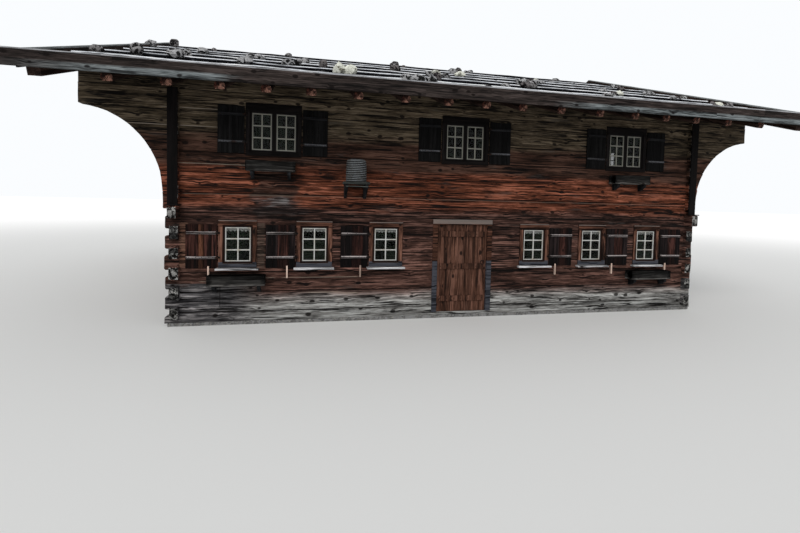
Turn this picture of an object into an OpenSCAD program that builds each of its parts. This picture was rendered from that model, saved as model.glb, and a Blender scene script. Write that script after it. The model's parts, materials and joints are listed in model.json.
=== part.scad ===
// Alpine farmhouse of squared logs, seen on its eave side: two storeys, crossed log corners,
// log walls that corbel out under the verge, and a shallow shingle roof with weight poles.
// Millimetres. X runs along the eaves, the front faces -Y, Z is up.
// The origin is on the ground under the middle of the house.

/* [House] */
// Length of the eave walls between the outer faces of the gable walls
house_l = 11860; // [11200:10:15000]
// Depth of the house between the outer faces of the eave walls
house_d = 13600; // [12800:100:16000]
// Height of the stone footing above the ground
footing_h = 60; // [40:10:300]
// Width of the footing wall
footing_w = 450; // [350:10:700]
// How far the footing stands out past the logs
footing_out = 40; // [0:5:100]

/* [Log walls] */
// Thickness of the squared logs
log_t = 160; // [140:5:240]
// Height of one log course
course_h = 392; // [370:2:420]
// Log courses in each storey
storey_courses = 6; // [6:1:7]
// Depth of the groove between two courses
groove = 14; // [4:1:25]
// How far the log heads run on past the corner
head_l = 100; // [80:10:300]
// Share of a course that a log head keeps, outside the crossing
head_share = 0.66; // [0.5:0.02:0.8]
// Chamfer on the ends of the log heads
head_chamfer = 22; // [5:1:40]
// How far the big corner heads under the boxed posts run out
corbel_l = 240; // [220:10:400]

/* [Corbelled wing] */
// How far the top logs of the eave walls run on past the gable walls
wing_reach = 1550; // [1000:50:1700]
// Radius of the arc that the log ends are cut to
wing_r = 1590; // [1450:10:2200]
// How far the lowest logs of the wing stand out past the gable walls
wing_head = 140; // [100:10:240]
// Height of the upright end of the wing
wing_tip_h = 370; // [150:10:400]

/* [Corner posts] */
// Thickness of the boards that box the upper log heads
post_board_t = 28; // [12:1:40]
// Thickness of the plate under these boards, on the corbel head
post_plate_t = 26; // [15:1:40]
// How far this plate stands out on both sides of the logs
post_plate_out = 42; // [10:1:60]

/* [Floors] */
// Thickness of the floor planks
floor_t = 60; // [40:5:90]
// Width of the joists under the upper floor
joist_w = 160; // [120:10:220]
// Height of the joists
joist_h = 200; // [160:10:260]
// Number of joists under the upper floor
joist_count = 9; // [7:1:13]

/* [Roof] */
// Pitch of the roof
pitch = 19.8; // [18:0.5:27]
// How far the eaves reach out past the walls
eave_over = 1280; // [900:50:1500]
// How far the verges reach out past the gable walls
verge_over = 1800; // [1700:10:2200]
// Height of the eave purlins
purlin_h = 220; // [160:10:260]
// Width of the purlins
purlin_w = 180; // [140:10:240]
// Height of the middle purlins and the ridge purlin
main_purlin_h = 260; // [200:10:320]
// How far the roof purlins stay inside the verge boards
purlin_back = 90; // [40:10:200]
// How far the corbels under the roof purlins reach out of the gables
corbel_reach = 1000; // [700:50:1400]
// Height of these corbels
corbel_h = 620; // [400:20:700]
// Diameter of the round rafters
rafter_d = 180; // [140:5:200]
// How much is hewn off the rafters' undersides
rafter_flat = 35; // [10:5:50]
// Depth of the rafters' seats on the purlins
seat_h = 25; // [20:5:60]
// Rafters' ends stay this far behind the fascia
rafter_back = 100; // [60:10:300]
// Width of the squared rafters inside the verge boards
verge_rafter_w = 190; // [120:10:200]
// How far these rafters stay inside the roof boards' ends
verge_rafter_in = 70; // [0:10:150]
// Distance from a gable wall's outer face to the first rafter's axis inside it
rafter_inset = 290; // [250:5:360]
// Spaces between the rafters over the house
rafter_spaces = 14; // [12:1:17]
// How far the hand-laid rafters stray from even spaces, in a slow wave
rafter_stray = 55; // [0:5:70]
// How far this wave leans outwards
rafter_lean = 45; // [0:5:60]
// Spaces from one crest of this wave to the next
stray_every = 5; // [3:1:8]
// Place of the first crest, in spaces from the first rafter
stray_crest = 0.7; // [0:0.1:3]
// Thickness of the roof boards
deck_t = 40; // [24:2:60]

/* [Shingles and weights] */
// Thickness of one shingle layer
shingle_t = 28; // [18:1:40]
// Length of a shingle course that shows
shingle_run = 300; // [240:10:400]
// Diameter of the weight poles
pole_d = 84; // [60:2:110]
// How far the poles' ends stay inside the verge boards
pole_back = 60; // [20:10:200]
// Shingle courses between two weight poles
pole_every = 4; // [3:1:6]
// Thickness of the ridge boards
ridge_board_t = 40; // [25:5:60]
// Width of the ridge boards down the slope
ridge_board_w = 260; // [180:10:400]

/* [Fascia and verge] */
// Height of the fascia's upper board
fascia_top_h = 150; // [120:5:220]
// Height of the fascia's lower board
fascia_low_h = 128; // [90:5:180]
// How far the fascia runs on past the verge
fascia_past = 250; // [0:10:400]
// Thickness of the fascia's upper board
fascia_t = 45; // [30:5:70]
// How far the lower board stands proud of the upper one
fascia_proud = 15; // [5:1:30]
// How far the fascia rises over the roof boards
fascia_rise = 218; // [100:2:260]
// How far the verge boards rise over the shingles
verge_rise = 160; // [20:5:180]
// Thickness of the verge boards
verge_t = 40; // [25:5:60]
// Height of the verge boards
verge_h = 300; // [200:10:320]

/* [Single windows] */
// Width of a single casement
sash_w = 500; // [440:10:560]
// Height of a single casement
sash_h = 700; // [600:10:800]
// Height of the casement's underside over the storey's first log
sash_z = 1187; // [1100:10:1260]
// Middle of the first single window from the gable wall's outer face
window_first = 1230; // [1160:10:1400]
// Distance between the single windows
window_step = 1490; // [1440:10:1600]
// Distance between the single windows of the gable walls
gable_step = 2720; // [2600:20:2900]

/* [Attic windows] */
// Width of the window opening in each gable
attic_w = 700; // [600:20:900]
// Height of that opening
attic_h = 640; // [560:20:800]
// Height of that opening over the wall's top
attic_rise = 700; // [500:50:900]

/* [Double windows] */
// Width of one casement of a double window
pair_w = 390; // [340:10:450]
// Height of the casements of a double window
pair_h = 740; // [640:10:820]
// Height of their underside over the upper storey's first log
pair_z = 1057; // [1000:1:1130]
// Width of the post between the two casements
mullion_w = 75; // [60:5:100]
// Middle of the first double window from the gable wall's outer face
pair_first = 1900; // [1830:10:2100]
// Distance between the double windows of the gable walls
gable_pair_step = 3780; // [3600:20:4000]

/* [Window parts] */
// Width of the casing's uprights
jamb_w = 110; // [90:5:150]
// Height of the double windows' head
pair_lintel_h = 182; // [120:2:220]
// Height of the single windows' head
lintel_h = 130; // [100:5:180]
// Height of the casing's foot
foot_h = 110; // [50:5:120]
// How far the casings stand proud of the logs
casing_proud = 24; // [10:2:40]
// Width of the sunk border inside the casing
border_w = 34; // [20:2:50]
// Depth of the sunk border
border_d = 30; // [15:1:50]
// Thickness of a casement
sash_t = 42; // [34:1:60]
// How far the casement lies behind the sunk border
sash_back = 12; // [0:1:30]
// Width of the casement's frame
stile_w = 30; // [28:1:50]
// Width of the glazing bars
bar_w = 24; // [14:1:28]
// Thickness of the glass
glass_t = 5; // [3:1:8]
// Thickness of the sill planks
sill_t = 48; // [30:2:70]
// How far the sill planks reach out of the wall
sill_out = 130; // [80:10:180]
// How far the sill planks reach past the casing on each side
sill_side = 50; // [20:5:80]
// Drop of the lace valance behind the single windows
valance_h = 95; // [60:5:140]
// Thickness of the lace
lace_t = 6; // [4:1:10]

/* [Shutters] */
// Width of the shutters beside the single windows
shutter_w = 580; // [480:10:610]
// How far these shutters reach below the casement
shutter_drop = 127; // [60:1:200]
// How far these shutters rise over the casement
shutter_rise = 48; // [0:4:100]
// Gap between the shutter and the casing
shutter_gap = 20; // [10:5:60]
// Width of the shutters beside the double windows
pair_shutter_w = 500; // [420:10:560]
// How far these shutters rise over the casements
pair_shutter_rise = 110; // [30:5:130]
// How far these shutters reach below the casements
pair_shutter_drop = 75; // [30:5:130]
// Thickness of the shutter boards
shutter_t = 26; // [18:1:40]
// Width of the battens
batten_w = 50; // [40:5:90]
// Thickness of the battens
batten_t = 24; // [15:1:35]
// Distance from a shutter's top to the middle of its upper batten
batten_top_in = 170; // [120:5:220]
// Distance from a shutter's foot to the middle of its lower batten
batten_foot_in = 220; // [150:5:260]
// Length of the peg under a shutter
peg_l = 250; // [120:10:280]
// Width of the peg
peg_t = 30; // [20:1:40]
// How far the peg's lip reaches up before the shutter
peg_catch = 50; // [20:5:80]
// Thickness of this lip
peg_lip = 20; // [12:1:30]
// Place of the peg from the shutter's edge at the window, as a share of the shutter's width
peg_place = 0.3; // [0.15:0.05:0.7]

/* [Flower boxes] */
// Length of the flower box under the first single window
low_box_l = 1075; // [800:10:1300]
// How far that box's middle lies outwards of the window's
low_box_shift = 0; // [0:10:200]
// Height of that box's underside over the storey's first log
low_box_z = 744; // [700:10:900]
// Length of the flower box under the double window
high_box_l = 940; // [800:10:1200]
// How far that box's middle lies outwards of the window's
high_box_shift = 45; // [0:5:120]
// Height of that box's underside over the upper storey's first log
high_box_z = 642; // [600:10:820]
// Height of the flower boxes
box_h = 200; // [160:10:260]
// Depth of the flower boxes
box_d = 230; // [160:10:300]
// Thickness of their boards
box_t = 22; // [15:1:30]
// Width of the brackets under the boxes
bracket_w = 60; // [40:5:90]
// Reach of the brackets, as a share of the depth of what they carry
bracket_out = 0.9; // [0.6:0.05:0.9]
// Height of the brackets, as a share of the same depth
bracket_down = 0.65; // [0.5:0.05:0.8]

/* [Basket] */
// Middle of the basket from the gable wall's outer face
basket_x = 3530; // [3350:10:3900]
// Diameter of the straw basket
basket_d = 420; // [340:10:480]
// Height of the basket
basket_h = 450; // [380:10:600]
// Number of straw coils
basket_coils = 12; // [8:1:16]
// Height of the basket's domed crown over its last coil
crown_h = 28; // [10:2:60]
// How much the basket narrows towards its crown
crown_in = 34; // [0:2:60]
// Width of the shelf under the basket
shelf_w = 520; // [440:10:620]
// Thickness of the shelf
shelf_t = 45; // [30:5:60]
// Height of the shelf's top over the upper storey's first log
shelf_z = 484; // [400:10:600]
// Thickness of the rail between the fronts of its brackets
shelf_rail_t = 25; // [15:5:40]
// Gap between the basket and the wall
basket_gap = 15; // [5:5:40]

/* [Door] */
// Width of the doorway
door_w = 1150; // [1000:10:1250]
// Height of the logs left between the doorway and the upper wall
over_door_h = 60; // [40:10:200]
// Width of the door frame
door_frame_w = 110; // [80:5:150]
// Thickness of the door leaf
door_t = 55; // [40:5:80]
// Height of the lowest ledge on the door, as a share of the leaf's height
ledge_low = 0.12; // [0.06:0.02:0.2]
// Height of the highest ledge, as a share of the leaf's height
ledge_high = 0.86; // [0.76:0.02:0.9]

/* [Hidden] */
$fn = 48;
storey_h = storey_courses * course_h;
z_logs = footing_h;
// The gable walls start with a whole log and the eave walls with half a one, so they interlock
z_storey = z_logs + storey_h;
z_eave_split = z_storey - course_h / 2;
z_wall = z_eave_split + storey_h;
z_head_top = z_storey - course_h * (1 - head_share) / 2;
z_floor = z_logs + floor_t;
half_l = house_l / 2;
half_d = house_d / 2;
rise = tan(pitch);
fall = cos(pitch);

// Roof planes over the outer face of the eave wall: the round rafters' lowest line and top, the boards' top
z_rafter_low = z_wall + purlin_h - seat_h - rafter_flat;
z_rafter_top = z_rafter_low + rafter_d / fall;
z_deck = z_rafter_top + deck_t / fall;
roof_half_l = half_l + verge_over;
deck_half_l = roof_half_l - verge_t;
deck_half_d = half_d + eave_over;
slope_l = deck_half_d / fall;
courses = floor(slope_l / shingle_run);

// Arc of the wing, in the plane of the wall: it leaves the lowest logs upright
wing_top_z = z_wall - wing_tip_h;
wing_cx = half_l + wing_head + wing_r;
wing_cz = wing_top_z - sqrt(pow(wing_r, 2) - pow(wing_reach - wing_head - wing_r, 2));

// Places along the walls, measured from the wall's middle
front_x = [for (s = [-1, 1], i = [0:2]) s * (half_l - window_first - i * window_step)];
pair_x = [-half_l + pair_first, 0, half_l - pair_first];
gable_single_x = [for (i = [-1.5:1:1.5]) i * gable_step];
gable_pair_x = [for (i = [-1:1]) i * gable_pair_step];
purlin_y = [-half_d / 2, 0, half_d / 2];

// Sizes of the openings, from the casements outwards
single_w = sash_w + 2 * jamb_w;
single_h = sash_h + lintel_h + foot_h;
double_w = 2 * pair_w + mullion_w + 2 * jamb_w;
double_h = pair_h + pair_lintel_h + foot_h;
single_z = z_logs + sash_z - foot_h;
double_z = z_storey + pair_z - foot_h;
attic_z = z_wall + attic_rise;
attic_sash_w = attic_w - 2 * jamb_w;
attic_sash_h = attic_h - lintel_h - foot_h;
shutter_h = sash_h + shutter_rise + shutter_drop;
shutter_z = z_logs + sash_z - shutter_drop;
pair_shutter_h = pair_h + pair_shutter_rise + pair_shutter_drop;
door_full_w = door_w + 2 * door_frame_w;
door_full_h = z_eave_split - z_floor - over_door_h;
door_h = door_full_h - door_frame_w;
sash_y = border_d + sash_back - casing_proud;
eps = 1;

// Placing: a wall is drawn with its outer face on y = 0, its inside at +y, its middle at x = 0
module on_front() { translate([0, -half_d, 0]) children(); }
module on_back() { rotate([0, 0, 180]) on_front() children(); }
module on_left() { translate([-half_l, 0, 0]) rotate([0, 0, -90]) children(); }
module on_right() { rotate([0, 0, 180]) on_left() children(); }

// Both ends of what is drawn at +x
module both_ends() {
    children();
    mirror([1, 0, 0]) children();
}

// Log walls

// Course joints of a wall from z = from up to z = to, shifted by a part of a course
function joints(from, to, shift) =
    [for (z = z_logs + shift; z < to - eps; z = z + course_h) if (z > from + eps) z];

// Section of a log wall, thickness across and height up, with a groove at every joint
module log_section(from, to, shift) {
    marks = joints(from, to, shift);
    polygon(concat(
        [[0, from]],
        [for (m = marks, p = [[0, m - groove], [groove, m], [0, m + groove]]) p],
        [[0, to], [log_t, to]],
        [for (i = [len(marks) - 1:-1:0], p = [1, 0, -1])
            [log_t - (p == 0 ? groove : 0), marks[i] + p * groove]],
        [[log_t, from]]
    ));
}

// Run of logs along x between x = -reach and x = reach
module log_run(reach, from, to, shift) {
    translate([-reach, 0, 0]) rotate([90, 0, 90]) linear_extrude(2 * reach) log_section(from, to, shift);
}

// What is cut from a wall's end at one course joint: half a course where the logs cross,
// less at the heads, and a chamfer at their ends
module head_cut(span, z, head) {
    tie = course_h / 4;
    gap = course_h * (1 - head_share) / 2;
    translate([0, log_t + eps, 0]) rotate([90, 0, 0]) linear_extrude(log_t + 2 * eps)
        polygon([
            [span - log_t, z - tie], [span, z - tie], [span, z - gap],
            [span + head - head_chamfer, z - gap], [span + head + eps, z - gap - head_chamfer],
            [span + head + eps, z + gap + head_chamfer], [span + head - head_chamfer, z + gap],
            [span, z + gap], [span, z + tie], [span - log_t, z + tie]
        ]);
}

// Crossing cut alone, where the logs run on past the corner
module crossing_cut(span, z) {
    translate([span - log_t, -eps, z - course_h / 4]) cube([log_t, log_t + 2 * eps, course_h / 2]);
}

// Openings of the walls, a little deeper than the logs
module opening(x, z, w, h) {
    translate([x - w / 2, -eps, z]) cube([w, log_t + 2 * eps, h]);
}
module single_openings(places) { for (x = places) opening(x, single_z, single_w, single_h); }
module double_openings(places) { for (x = places) opening(x, double_z, double_w, double_h); }
module doorway() { opening(0, z_floor, door_full_w, door_full_h); }

module eave_wall_ground() {
    difference() {
        log_run(half_l + head_l, z_logs, z_eave_split, course_h / 2);
        for (i = [0:storey_courses - 1])
            both_ends() head_cut(half_l, z_logs + (i + 0.5) * course_h, head_l);
        children();
    }
}

// Past the corner the upper logs lie close on each other, and an arc cuts their ends
module eave_wall_upper() {
    difference() {
        log_run(half_l + wing_reach, z_eave_split, z_wall, course_h / 2);
        both_ends() {
            head_cut(half_l, z_eave_split, wing_head);
            for (i = [1:storey_courses]) crossing_cut(half_l, z_eave_split + i * course_h);
            translate([wing_cx, log_t + eps, wing_cz])
                rotate([90, 0, 0]) cylinder(h = log_t + 2 * eps, r = wing_r, $fn = 96);
            translate([half_l + wing_head, -eps, z_eave_split - eps])
                cube([wing_reach, log_t + 2 * eps, wing_cz - z_eave_split + eps]);
        }
        children();
    }
}

// The topmost log of the ground storey's gable walls runs out as a corbel head under the boxed post
module gable_wall_ground() {
    difference() {
        union() {
            log_run(half_d + head_l, z_logs, z_storey, 0);
            both_ends() translate([half_d + head_l - eps, 0, z_storey - course_h])
                cube([corbel_l - head_l + eps, log_t, course_h]);
        }
        for (i = [0:storey_courses - 2]) both_ends() head_cut(half_d, z_logs + i * course_h, head_l);
        for (i = [-1, 0]) both_ends() head_cut(half_d, z_storey + i * course_h, corbel_l);
        children();
    }
}

module gable_wall_upper() {
    difference() {
        log_run(half_d + head_l, z_storey, z_wall, 0);
        for (i = [0:storey_courses - 1]) both_ends() head_cut(half_d, z_storey + i * course_h, head_l);
        children();
    }
}

// Triangle of logs under the roof boards, with the purlins let in
module gable_top() {
    apex = z_rafter_top + half_d * rise;
    difference() {
        intersection() {
            log_run(half_d, z_wall, apex, 0);
            translate([0, log_t, 0]) rotate([90, 0, 0]) linear_extrude(log_t)
                polygon([[-half_d, z_wall], [half_d, z_wall], [half_d, z_rafter_top],
                    [0, apex], [-half_d, z_rafter_top]]);
        }
        both_ends() translate([half_d - purlin_w, -eps, z_wall - eps])
            cube([purlin_w + eps, log_t + 2 * eps, purlin_h + eps]);
        for (y = purlin_y)
            translate([y - purlin_w / 2, -eps, purlin_top(y) - main_purlin_h])
                cube([purlin_w, log_t + 2 * eps, main_purlin_h]);
        opening(0, attic_z, attic_w, attic_h);
    }
}
// Top of a purlin under the rafters at a distance y from the ridge
function purlin_top(y) = z_wall + purlin_h + (half_d - abs(y) - purlin_w / 2) * rise;

module stone_footing() {
    color("#8b8a84") difference() {
        translate([-half_l - footing_out, -half_d - footing_out, 0])
            cube([house_l + 2 * footing_out, house_d + 2 * footing_out, footing_h]);
        translate([-half_l - footing_out + footing_w, -half_d - footing_out + footing_w, -eps])
            cube([house_l + 2 * (footing_out - footing_w), house_d + 2 * (footing_out - footing_w),
                footing_h + 2 * eps]);
    }
}

module floor_planks(z) {
    translate([-half_l + log_t, -half_d + log_t, z])
        cube([house_l - 2 * log_t, house_d - 2 * log_t, floor_t]);
}

module ground_floor() { color("#7a5f45") floor_planks(z_logs); }

module upper_floor() { color("#6f543c") floor_planks(z_storey); }

module floor_joists() {
    joist_l = house_l - 2 * log_t;
    step = (house_d - 2 * log_t - joist_w) / (joist_count - 1);
    color("#5c4430") for (i = [0:joist_count - 1])
        translate([-joist_l / 2, -half_d + log_t + i * step, z_storey - joist_h])
            cube([joist_l, joist_w, joist_h]);
}

module front_wall_ground() {
    color("#4a2c1d") on_front() eave_wall_ground() {
        single_openings(front_x);
        doorway();
    }
}
module front_wall_upper() { color("#5a3a26") on_front() eave_wall_upper() double_openings(pair_x); }
module back_wall_ground() { color("#4a2c1d") on_back() eave_wall_ground() single_openings(front_x); }
module back_wall_upper() { color("#5a3a26") on_back() eave_wall_upper() double_openings(pair_x); }
module left_wall_ground() {
    color("#4a2c1d") on_left() gable_wall_ground() single_openings(gable_single_x);
}
module left_wall_upper() {
    color("#5a3a26") on_left() gable_wall_upper() double_openings(gable_pair_x);
}
module right_wall_ground() {
    color("#4a2c1d") on_right() gable_wall_ground() single_openings(gable_single_x);
}
module right_wall_upper() {
    color("#5a3a26") on_right() gable_wall_upper() double_openings(gable_pair_x);
}
module left_gable() { color("#5a3a26") on_left() gable_top(); }
module right_gable() { color("#5a3a26") on_right() gable_top(); }

// Boarded posts: a board before the upper heads of the gable walls and one on their outer side,
// on a plate that covers the corbel head
module corner_post() {
    foot = z_head_top + post_plate_t;
    translate([-post_plate_out, -corbel_l, z_head_top])
        cube([log_t + 2 * post_plate_out, corbel_l, post_plate_t]);
    translate([-post_board_t, -head_l - post_board_t, foot])
        linear_extrude(z_wall - foot) difference() {
            square([log_t + post_board_t, head_l + post_board_t]);
            translate([post_board_t, post_board_t]) square([log_t + eps, head_l + eps]);
        }
}

module corner_posts() {
    color("#1d1814") for (turn = [0, 180]) rotate([0, 0, turn]) both_ends()
        translate([-half_l, -half_d, 0]) corner_post();
}

// Roof frame

// The eave purlins end with the wing's logs
module eave_purlins() {
    color("#4b3626") for (turn = [0, 180]) rotate([0, 0, turn])
        translate([-half_l - wing_reach, -half_d, z_wall])
            cube([2 * (half_l + wing_reach), purlin_w, purlin_h]);
}

module roof_purlins() {
    color("#4b3626") for (y = purlin_y)
        translate([-deck_half_l + purlin_back, y - purlin_w / 2, purlin_top(y) - main_purlin_h])
            cube([2 * (deck_half_l - purlin_back), purlin_w, main_purlin_h]);
}

// Corbels of stacked log ends under the roof purlins, cut to an arc
module purlin_corbels() {
    r = (pow(corbel_reach, 2) + pow(corbel_h, 2)) / (2 * corbel_reach);
    tip = purlin_h / 2;
    color("#4b3626") for (y = purlin_y) both_ends()
        translate([half_l, y - purlin_w / 2, purlin_top(y) - main_purlin_h - corbel_h])
            difference() {
                cube([corbel_reach, purlin_w, corbel_h]);
                translate([r, -eps, -tip]) rotate([-90, 0, 0])
                    cylinder(h = purlin_w + 2 * eps, r = r, $fn = 96);
            }
}

// Squared rafter along the verge, its front end square to the slope
module verge_rafter() {
    long = (deck_half_d - rafter_back) / fall + rafter_d;
    translate([0, 0, z_rafter_low + half_d * rise]) rotate([pitch, 0, 0])
        translate([0, rafter_d - long, rafter_flat]) cube([verge_rafter_w, long, rafter_d - rafter_flat]);
}

// Section of a round rafter, hewn flat below
module rafter_section() {
    difference() {
        circle(d = rafter_d);
        translate([-rafter_d / 2, -rafter_d]) square([rafter_d, rafter_d / 2 + rafter_flat]);
    }
}

// Rafters of the front slope, seated on the purlins and cut upright at the ridge
module slope_rafters() {
    step = (house_l - 2 * rafter_inset) / rafter_spaces;
    extra = floor((verge_over - verge_rafter_in - verge_rafter_w - rafter_d) / step);
    function stray(i) = rafter_stray * cos(360 * (i - stray_crest) / stray_every) - rafter_lean;
    difference() {
        union() {
            for (i = [-extra:rafter_spaces + extra])
                translate([-half_l + rafter_inset + i * step + stray(i), 0, z_rafter_low + half_d * rise])
                    rotate([90 + pitch, 0, 0])
                    translate([0, rafter_d / 2, -rafter_d])
                    linear_extrude((deck_half_d - rafter_back) / fall + rafter_d) rafter_section();
            both_ends() translate([deck_half_l - verge_rafter_in - verge_rafter_w, 0, 0]) verge_rafter();
        }
        translate([-roof_half_l, 0, z_wall]) cube([2 * roof_half_l, deck_half_d, deck_half_d]);
        translate([-roof_half_l, -half_d, z_wall]) cube([2 * roof_half_l, purlin_w, purlin_h]);
        for (y = purlin_y)
            translate([-roof_half_l, y - purlin_w / 2, purlin_top(y) - main_purlin_h])
                cube([2 * roof_half_l, purlin_w, main_purlin_h]);
    }
}
module front_rafters() { color("#6e4a30") slope_rafters(); }
module back_rafters() { color("#6e4a30") rotate([0, 0, 180]) slope_rafters(); }

// A sheet that follows the front slope: its underside starts at z = base over the eave wall
module slope_sheet(base, thick) {
    drop = thick / fall;
    low = base - eave_over * rise;
    high = base + half_d * rise;
    translate([-deck_half_l, 0, 0]) rotate([90, 0, 90]) linear_extrude(2 * deck_half_l)
        polygon([[-deck_half_d, low], [0, high], [0, high + drop], [-deck_half_d, low + drop]]);
}
module front_roof_boards() { color("#5d4a38") slope_sheet(z_rafter_top, deck_t); }
module back_roof_boards() { color("#5d4a38") rotate([0, 0, 180]) slope_sheet(z_rafter_top, deck_t); }

// Shingle courses as steps, each with its thick end down the slope
module slope_shingles() {
    run = slope_l / courses;
    steps = [for (i = [0:courses - 1], p = [[i * run, 2 * shingle_t], [(i + 1) * run, shingle_t]]) p];
    ridge_cut = 3 * shingle_t * rise;
    intersection() {
        translate([-deck_half_l, -deck_half_d, z_deck - eave_over * rise])
            rotate([90, 0, 90]) linear_extrude(2 * deck_half_l)
            rotate(pitch) polygon(concat([[0, 0]], steps, [[slope_l + ridge_cut, shingle_t],
                [slope_l + ridge_cut, 0]]));
        translate([-deck_half_l, -deck_half_d, 0]) cube([2 * deck_half_l, deck_half_d, 2 * z_deck]);
    }
}
module front_shingles() { color("#9a9a97") slope_shingles(); }
module back_shingles() { color("#9a9a97") rotate([0, 0, 180]) slope_shingles(); }

// Two boards over the ridge
module ridge_boards() {
    low = z_deck + half_d * rise + shingle_t / fall;
    run = ridge_board_w * fall;
    drop = ridge_board_w * sin(pitch);
    top = ridge_board_t / fall;
    color("#7d7a74") translate([-deck_half_l, 0, low + shingle_t / fall])
        rotate([90, 0, 90]) linear_extrude(2 * deck_half_l)
        polygon([[-run, -drop], [0, 0], [run, -drop], [run, top - drop], [0, top], [-run, top - drop]]);
}

// Fascia: an upper board and a lower one that stands proud of it
module slope_fascia() {
    top = z_deck - eave_over * rise + fascia_rise;
    foot = top - fascia_top_h - fascia_low_h;
    reach = roof_half_l + fascia_past;
    translate([-reach, -deck_half_d, 0]) rotate([90, 0, 90]) linear_extrude(2 * reach)
        polygon([[0, foot], [0, top], [-fascia_t, top], [-fascia_t, foot + fascia_low_h],
            [-fascia_t - fascia_proud, foot + fascia_low_h - fascia_proud], [-fascia_t - fascia_proud, foot]]);
}
module front_fascia() { color("#5f554a") slope_fascia(); }
module back_fascia() { color("#5f554a") rotate([0, 0, 180]) slope_fascia(); }

// Verge boards close the ends of the roof boards and shingles
module verge_boards() {
    top = z_deck + (2 * shingle_t) / fall + verge_rise;
    low = -deck_half_d;
    color("#6b6257") for (turn = [0, 180]) rotate([0, 0, turn]) both_ends()
        translate([deck_half_l, 0, 0]) rotate([90, 0, 90]) linear_extrude(verge_t)
        polygon([
            [low, top + (low + half_d) * rise - verge_h], [0, top + half_d * rise - verge_h],
            [0, top + half_d * rise], [low, top + (low + half_d) * rise]
        ]);
}

// Weight poles along the eaves, each on the edge of a shingle course
module slope_poles() {
    run = slope_l / courses;
    for (i = [1:pole_every:courses - 2])
        translate([-deck_half_l, -deck_half_d, z_deck - eave_over * rise]) rotate([pitch, 0, 0])
            translate([pole_back, i * run, 2 * shingle_t + pole_d / 2])
            rotate([0, 90, 0]) cylinder(h = 2 * (deck_half_l - pole_back), d = pole_d);
}
module front_weight_poles() { color("#b0aca4") slope_poles(); }
module back_weight_poles() { color("#b0aca4") rotate([0, 0, 180]) slope_poles(); }

// Windows, drawn with the underside of their opening at z = 0

// Upright sheet with its front on y = from, for a flat outline in x and z
module upright(from, thick) {
    translate([0, from + thick, 0]) rotate([90, 0, 0]) linear_extrude(thick) children();
}
module mid_square(w, h, z) { translate([-w / 2, z]) square([w, h]); }

module casing(w, h, lights, light_w, light_h) {
    pitch_x = light_w + mullion_w;
    first = -(lights - 1) * pitch_x / 2;
    upright(-casing_proud, border_d) difference() {
        mid_square(w, h, 0);
        mid_square(w - 2 * (jamb_w - border_w), light_h + 2 * border_w, foot_h - border_w);
    }
    upright(border_d - casing_proud, log_t + casing_proud - border_d) difference() {
        mid_square(w, h, 0);
        for (i = [0:lights - 1]) translate([first + i * pitch_x, 0]) mid_square(light_w, light_h, foot_h);
    }
}

// Casement with two by three panes, rebated at the back for its glass
module sash(w, h) {
    pane_w = (w - 2 * stile_w - bar_w) / 2;
    pane_h = (h - 2 * stile_w - 2 * bar_w) / 3;
    rebate = sash_t / 2;
    upright(sash_y, sash_t - rebate) difference() {
        mid_square(w, h, 0);
        for (i = [0, 1], j = [0:2])
            translate([-w / 2 + stile_w + i * (pane_w + bar_w), stile_w + j * (pane_h + bar_w)])
                square([pane_w, pane_h]);
    }
    upright(sash_y + sash_t - rebate, rebate) difference() {
        mid_square(w, h, 0);
        mid_square(w - stile_w, h - stile_w, stile_w / 2);
    }
}
module pane(w, h) {
    upright(sash_y + sash_t / 2, glass_t) mid_square(w - stile_w, h - stile_w, stile_w / 2);
}

module single_casings(places) {
    for (x = places) translate([x, 0, single_z]) casing(single_w, single_h, 1, sash_w, sash_h);
}
module double_casings(places) {
    for (x = places) translate([x, 0, double_z]) casing(double_w, double_h, 2, pair_w, pair_h);
}
module attic_casing() {
    translate([0, 0, attic_z]) casing(attic_w, attic_h, 1, attic_sash_w, attic_sash_h);
}
module at_singles(places) { for (x = places) translate([x, 0, single_z + foot_h]) children(); }
module at_pairs(places) {
    for (x = places, s = [-1, 1])
        translate([x + s * (pair_w + mullion_w) / 2, 0, double_z + foot_h]) children();
}
module at_attic() { translate([0, 0, attic_z + foot_h]) children(); }

module eave_casings() {
    single_casings(front_x);
    double_casings(pair_x);
}
module eave_sashes() {
    at_singles(front_x) sash(sash_w, sash_h);
    at_pairs(pair_x) sash(pair_w, pair_h);
}
module eave_panes() {
    at_singles(front_x) pane(sash_w, sash_h);
    at_pairs(pair_x) pane(pair_w, pair_h);
}
// Both gable sides, one the other turned about
module on_gables() { for (turn = [0, 180]) rotate([0, 0, turn]) on_left() children(); }

module front_casings() { color("#4d3322") on_front() eave_casings(); }
module front_sashes() { color("#e2ddd2") on_front() eave_sashes(); }
module front_panes() { color("#5b6a66") on_front() eave_panes(); }
module back_casings() { color("#4d3322") on_back() eave_casings(); }
module back_sashes() { color("#e2ddd2") on_back() eave_sashes(); }
module back_panes() { color("#5b6a66") on_back() eave_panes(); }
module gable_casings() {
    color("#4d3322") on_gables() {
        single_casings(gable_single_x);
        double_casings(gable_pair_x);
        attic_casing();
    }
}
module gable_sashes() {
    color("#e2ddd2") on_gables() {
        at_singles(gable_single_x) sash(sash_w, sash_h);
        at_pairs(gable_pair_x) sash(pair_w, pair_h);
        at_attic() sash(attic_sash_w, attic_sash_h);
    }
}
module gable_panes() {
    color("#5b6a66") on_gables() {
        at_singles(gable_single_x) pane(sash_w, sash_h);
        at_pairs(gable_pair_x) pane(pair_w, pair_h);
        at_attic() pane(attic_sash_w, attic_sash_h);
    }
}

// Grey planks under the front's single windows
module window_sills() {
    color("#a8a49c") on_front() for (x = front_x)
        translate([x - single_w / 2 - sill_side, -sill_out, single_z - sill_t])
            cube([single_w + 2 * sill_side, sill_out, sill_t]);
}

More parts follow.
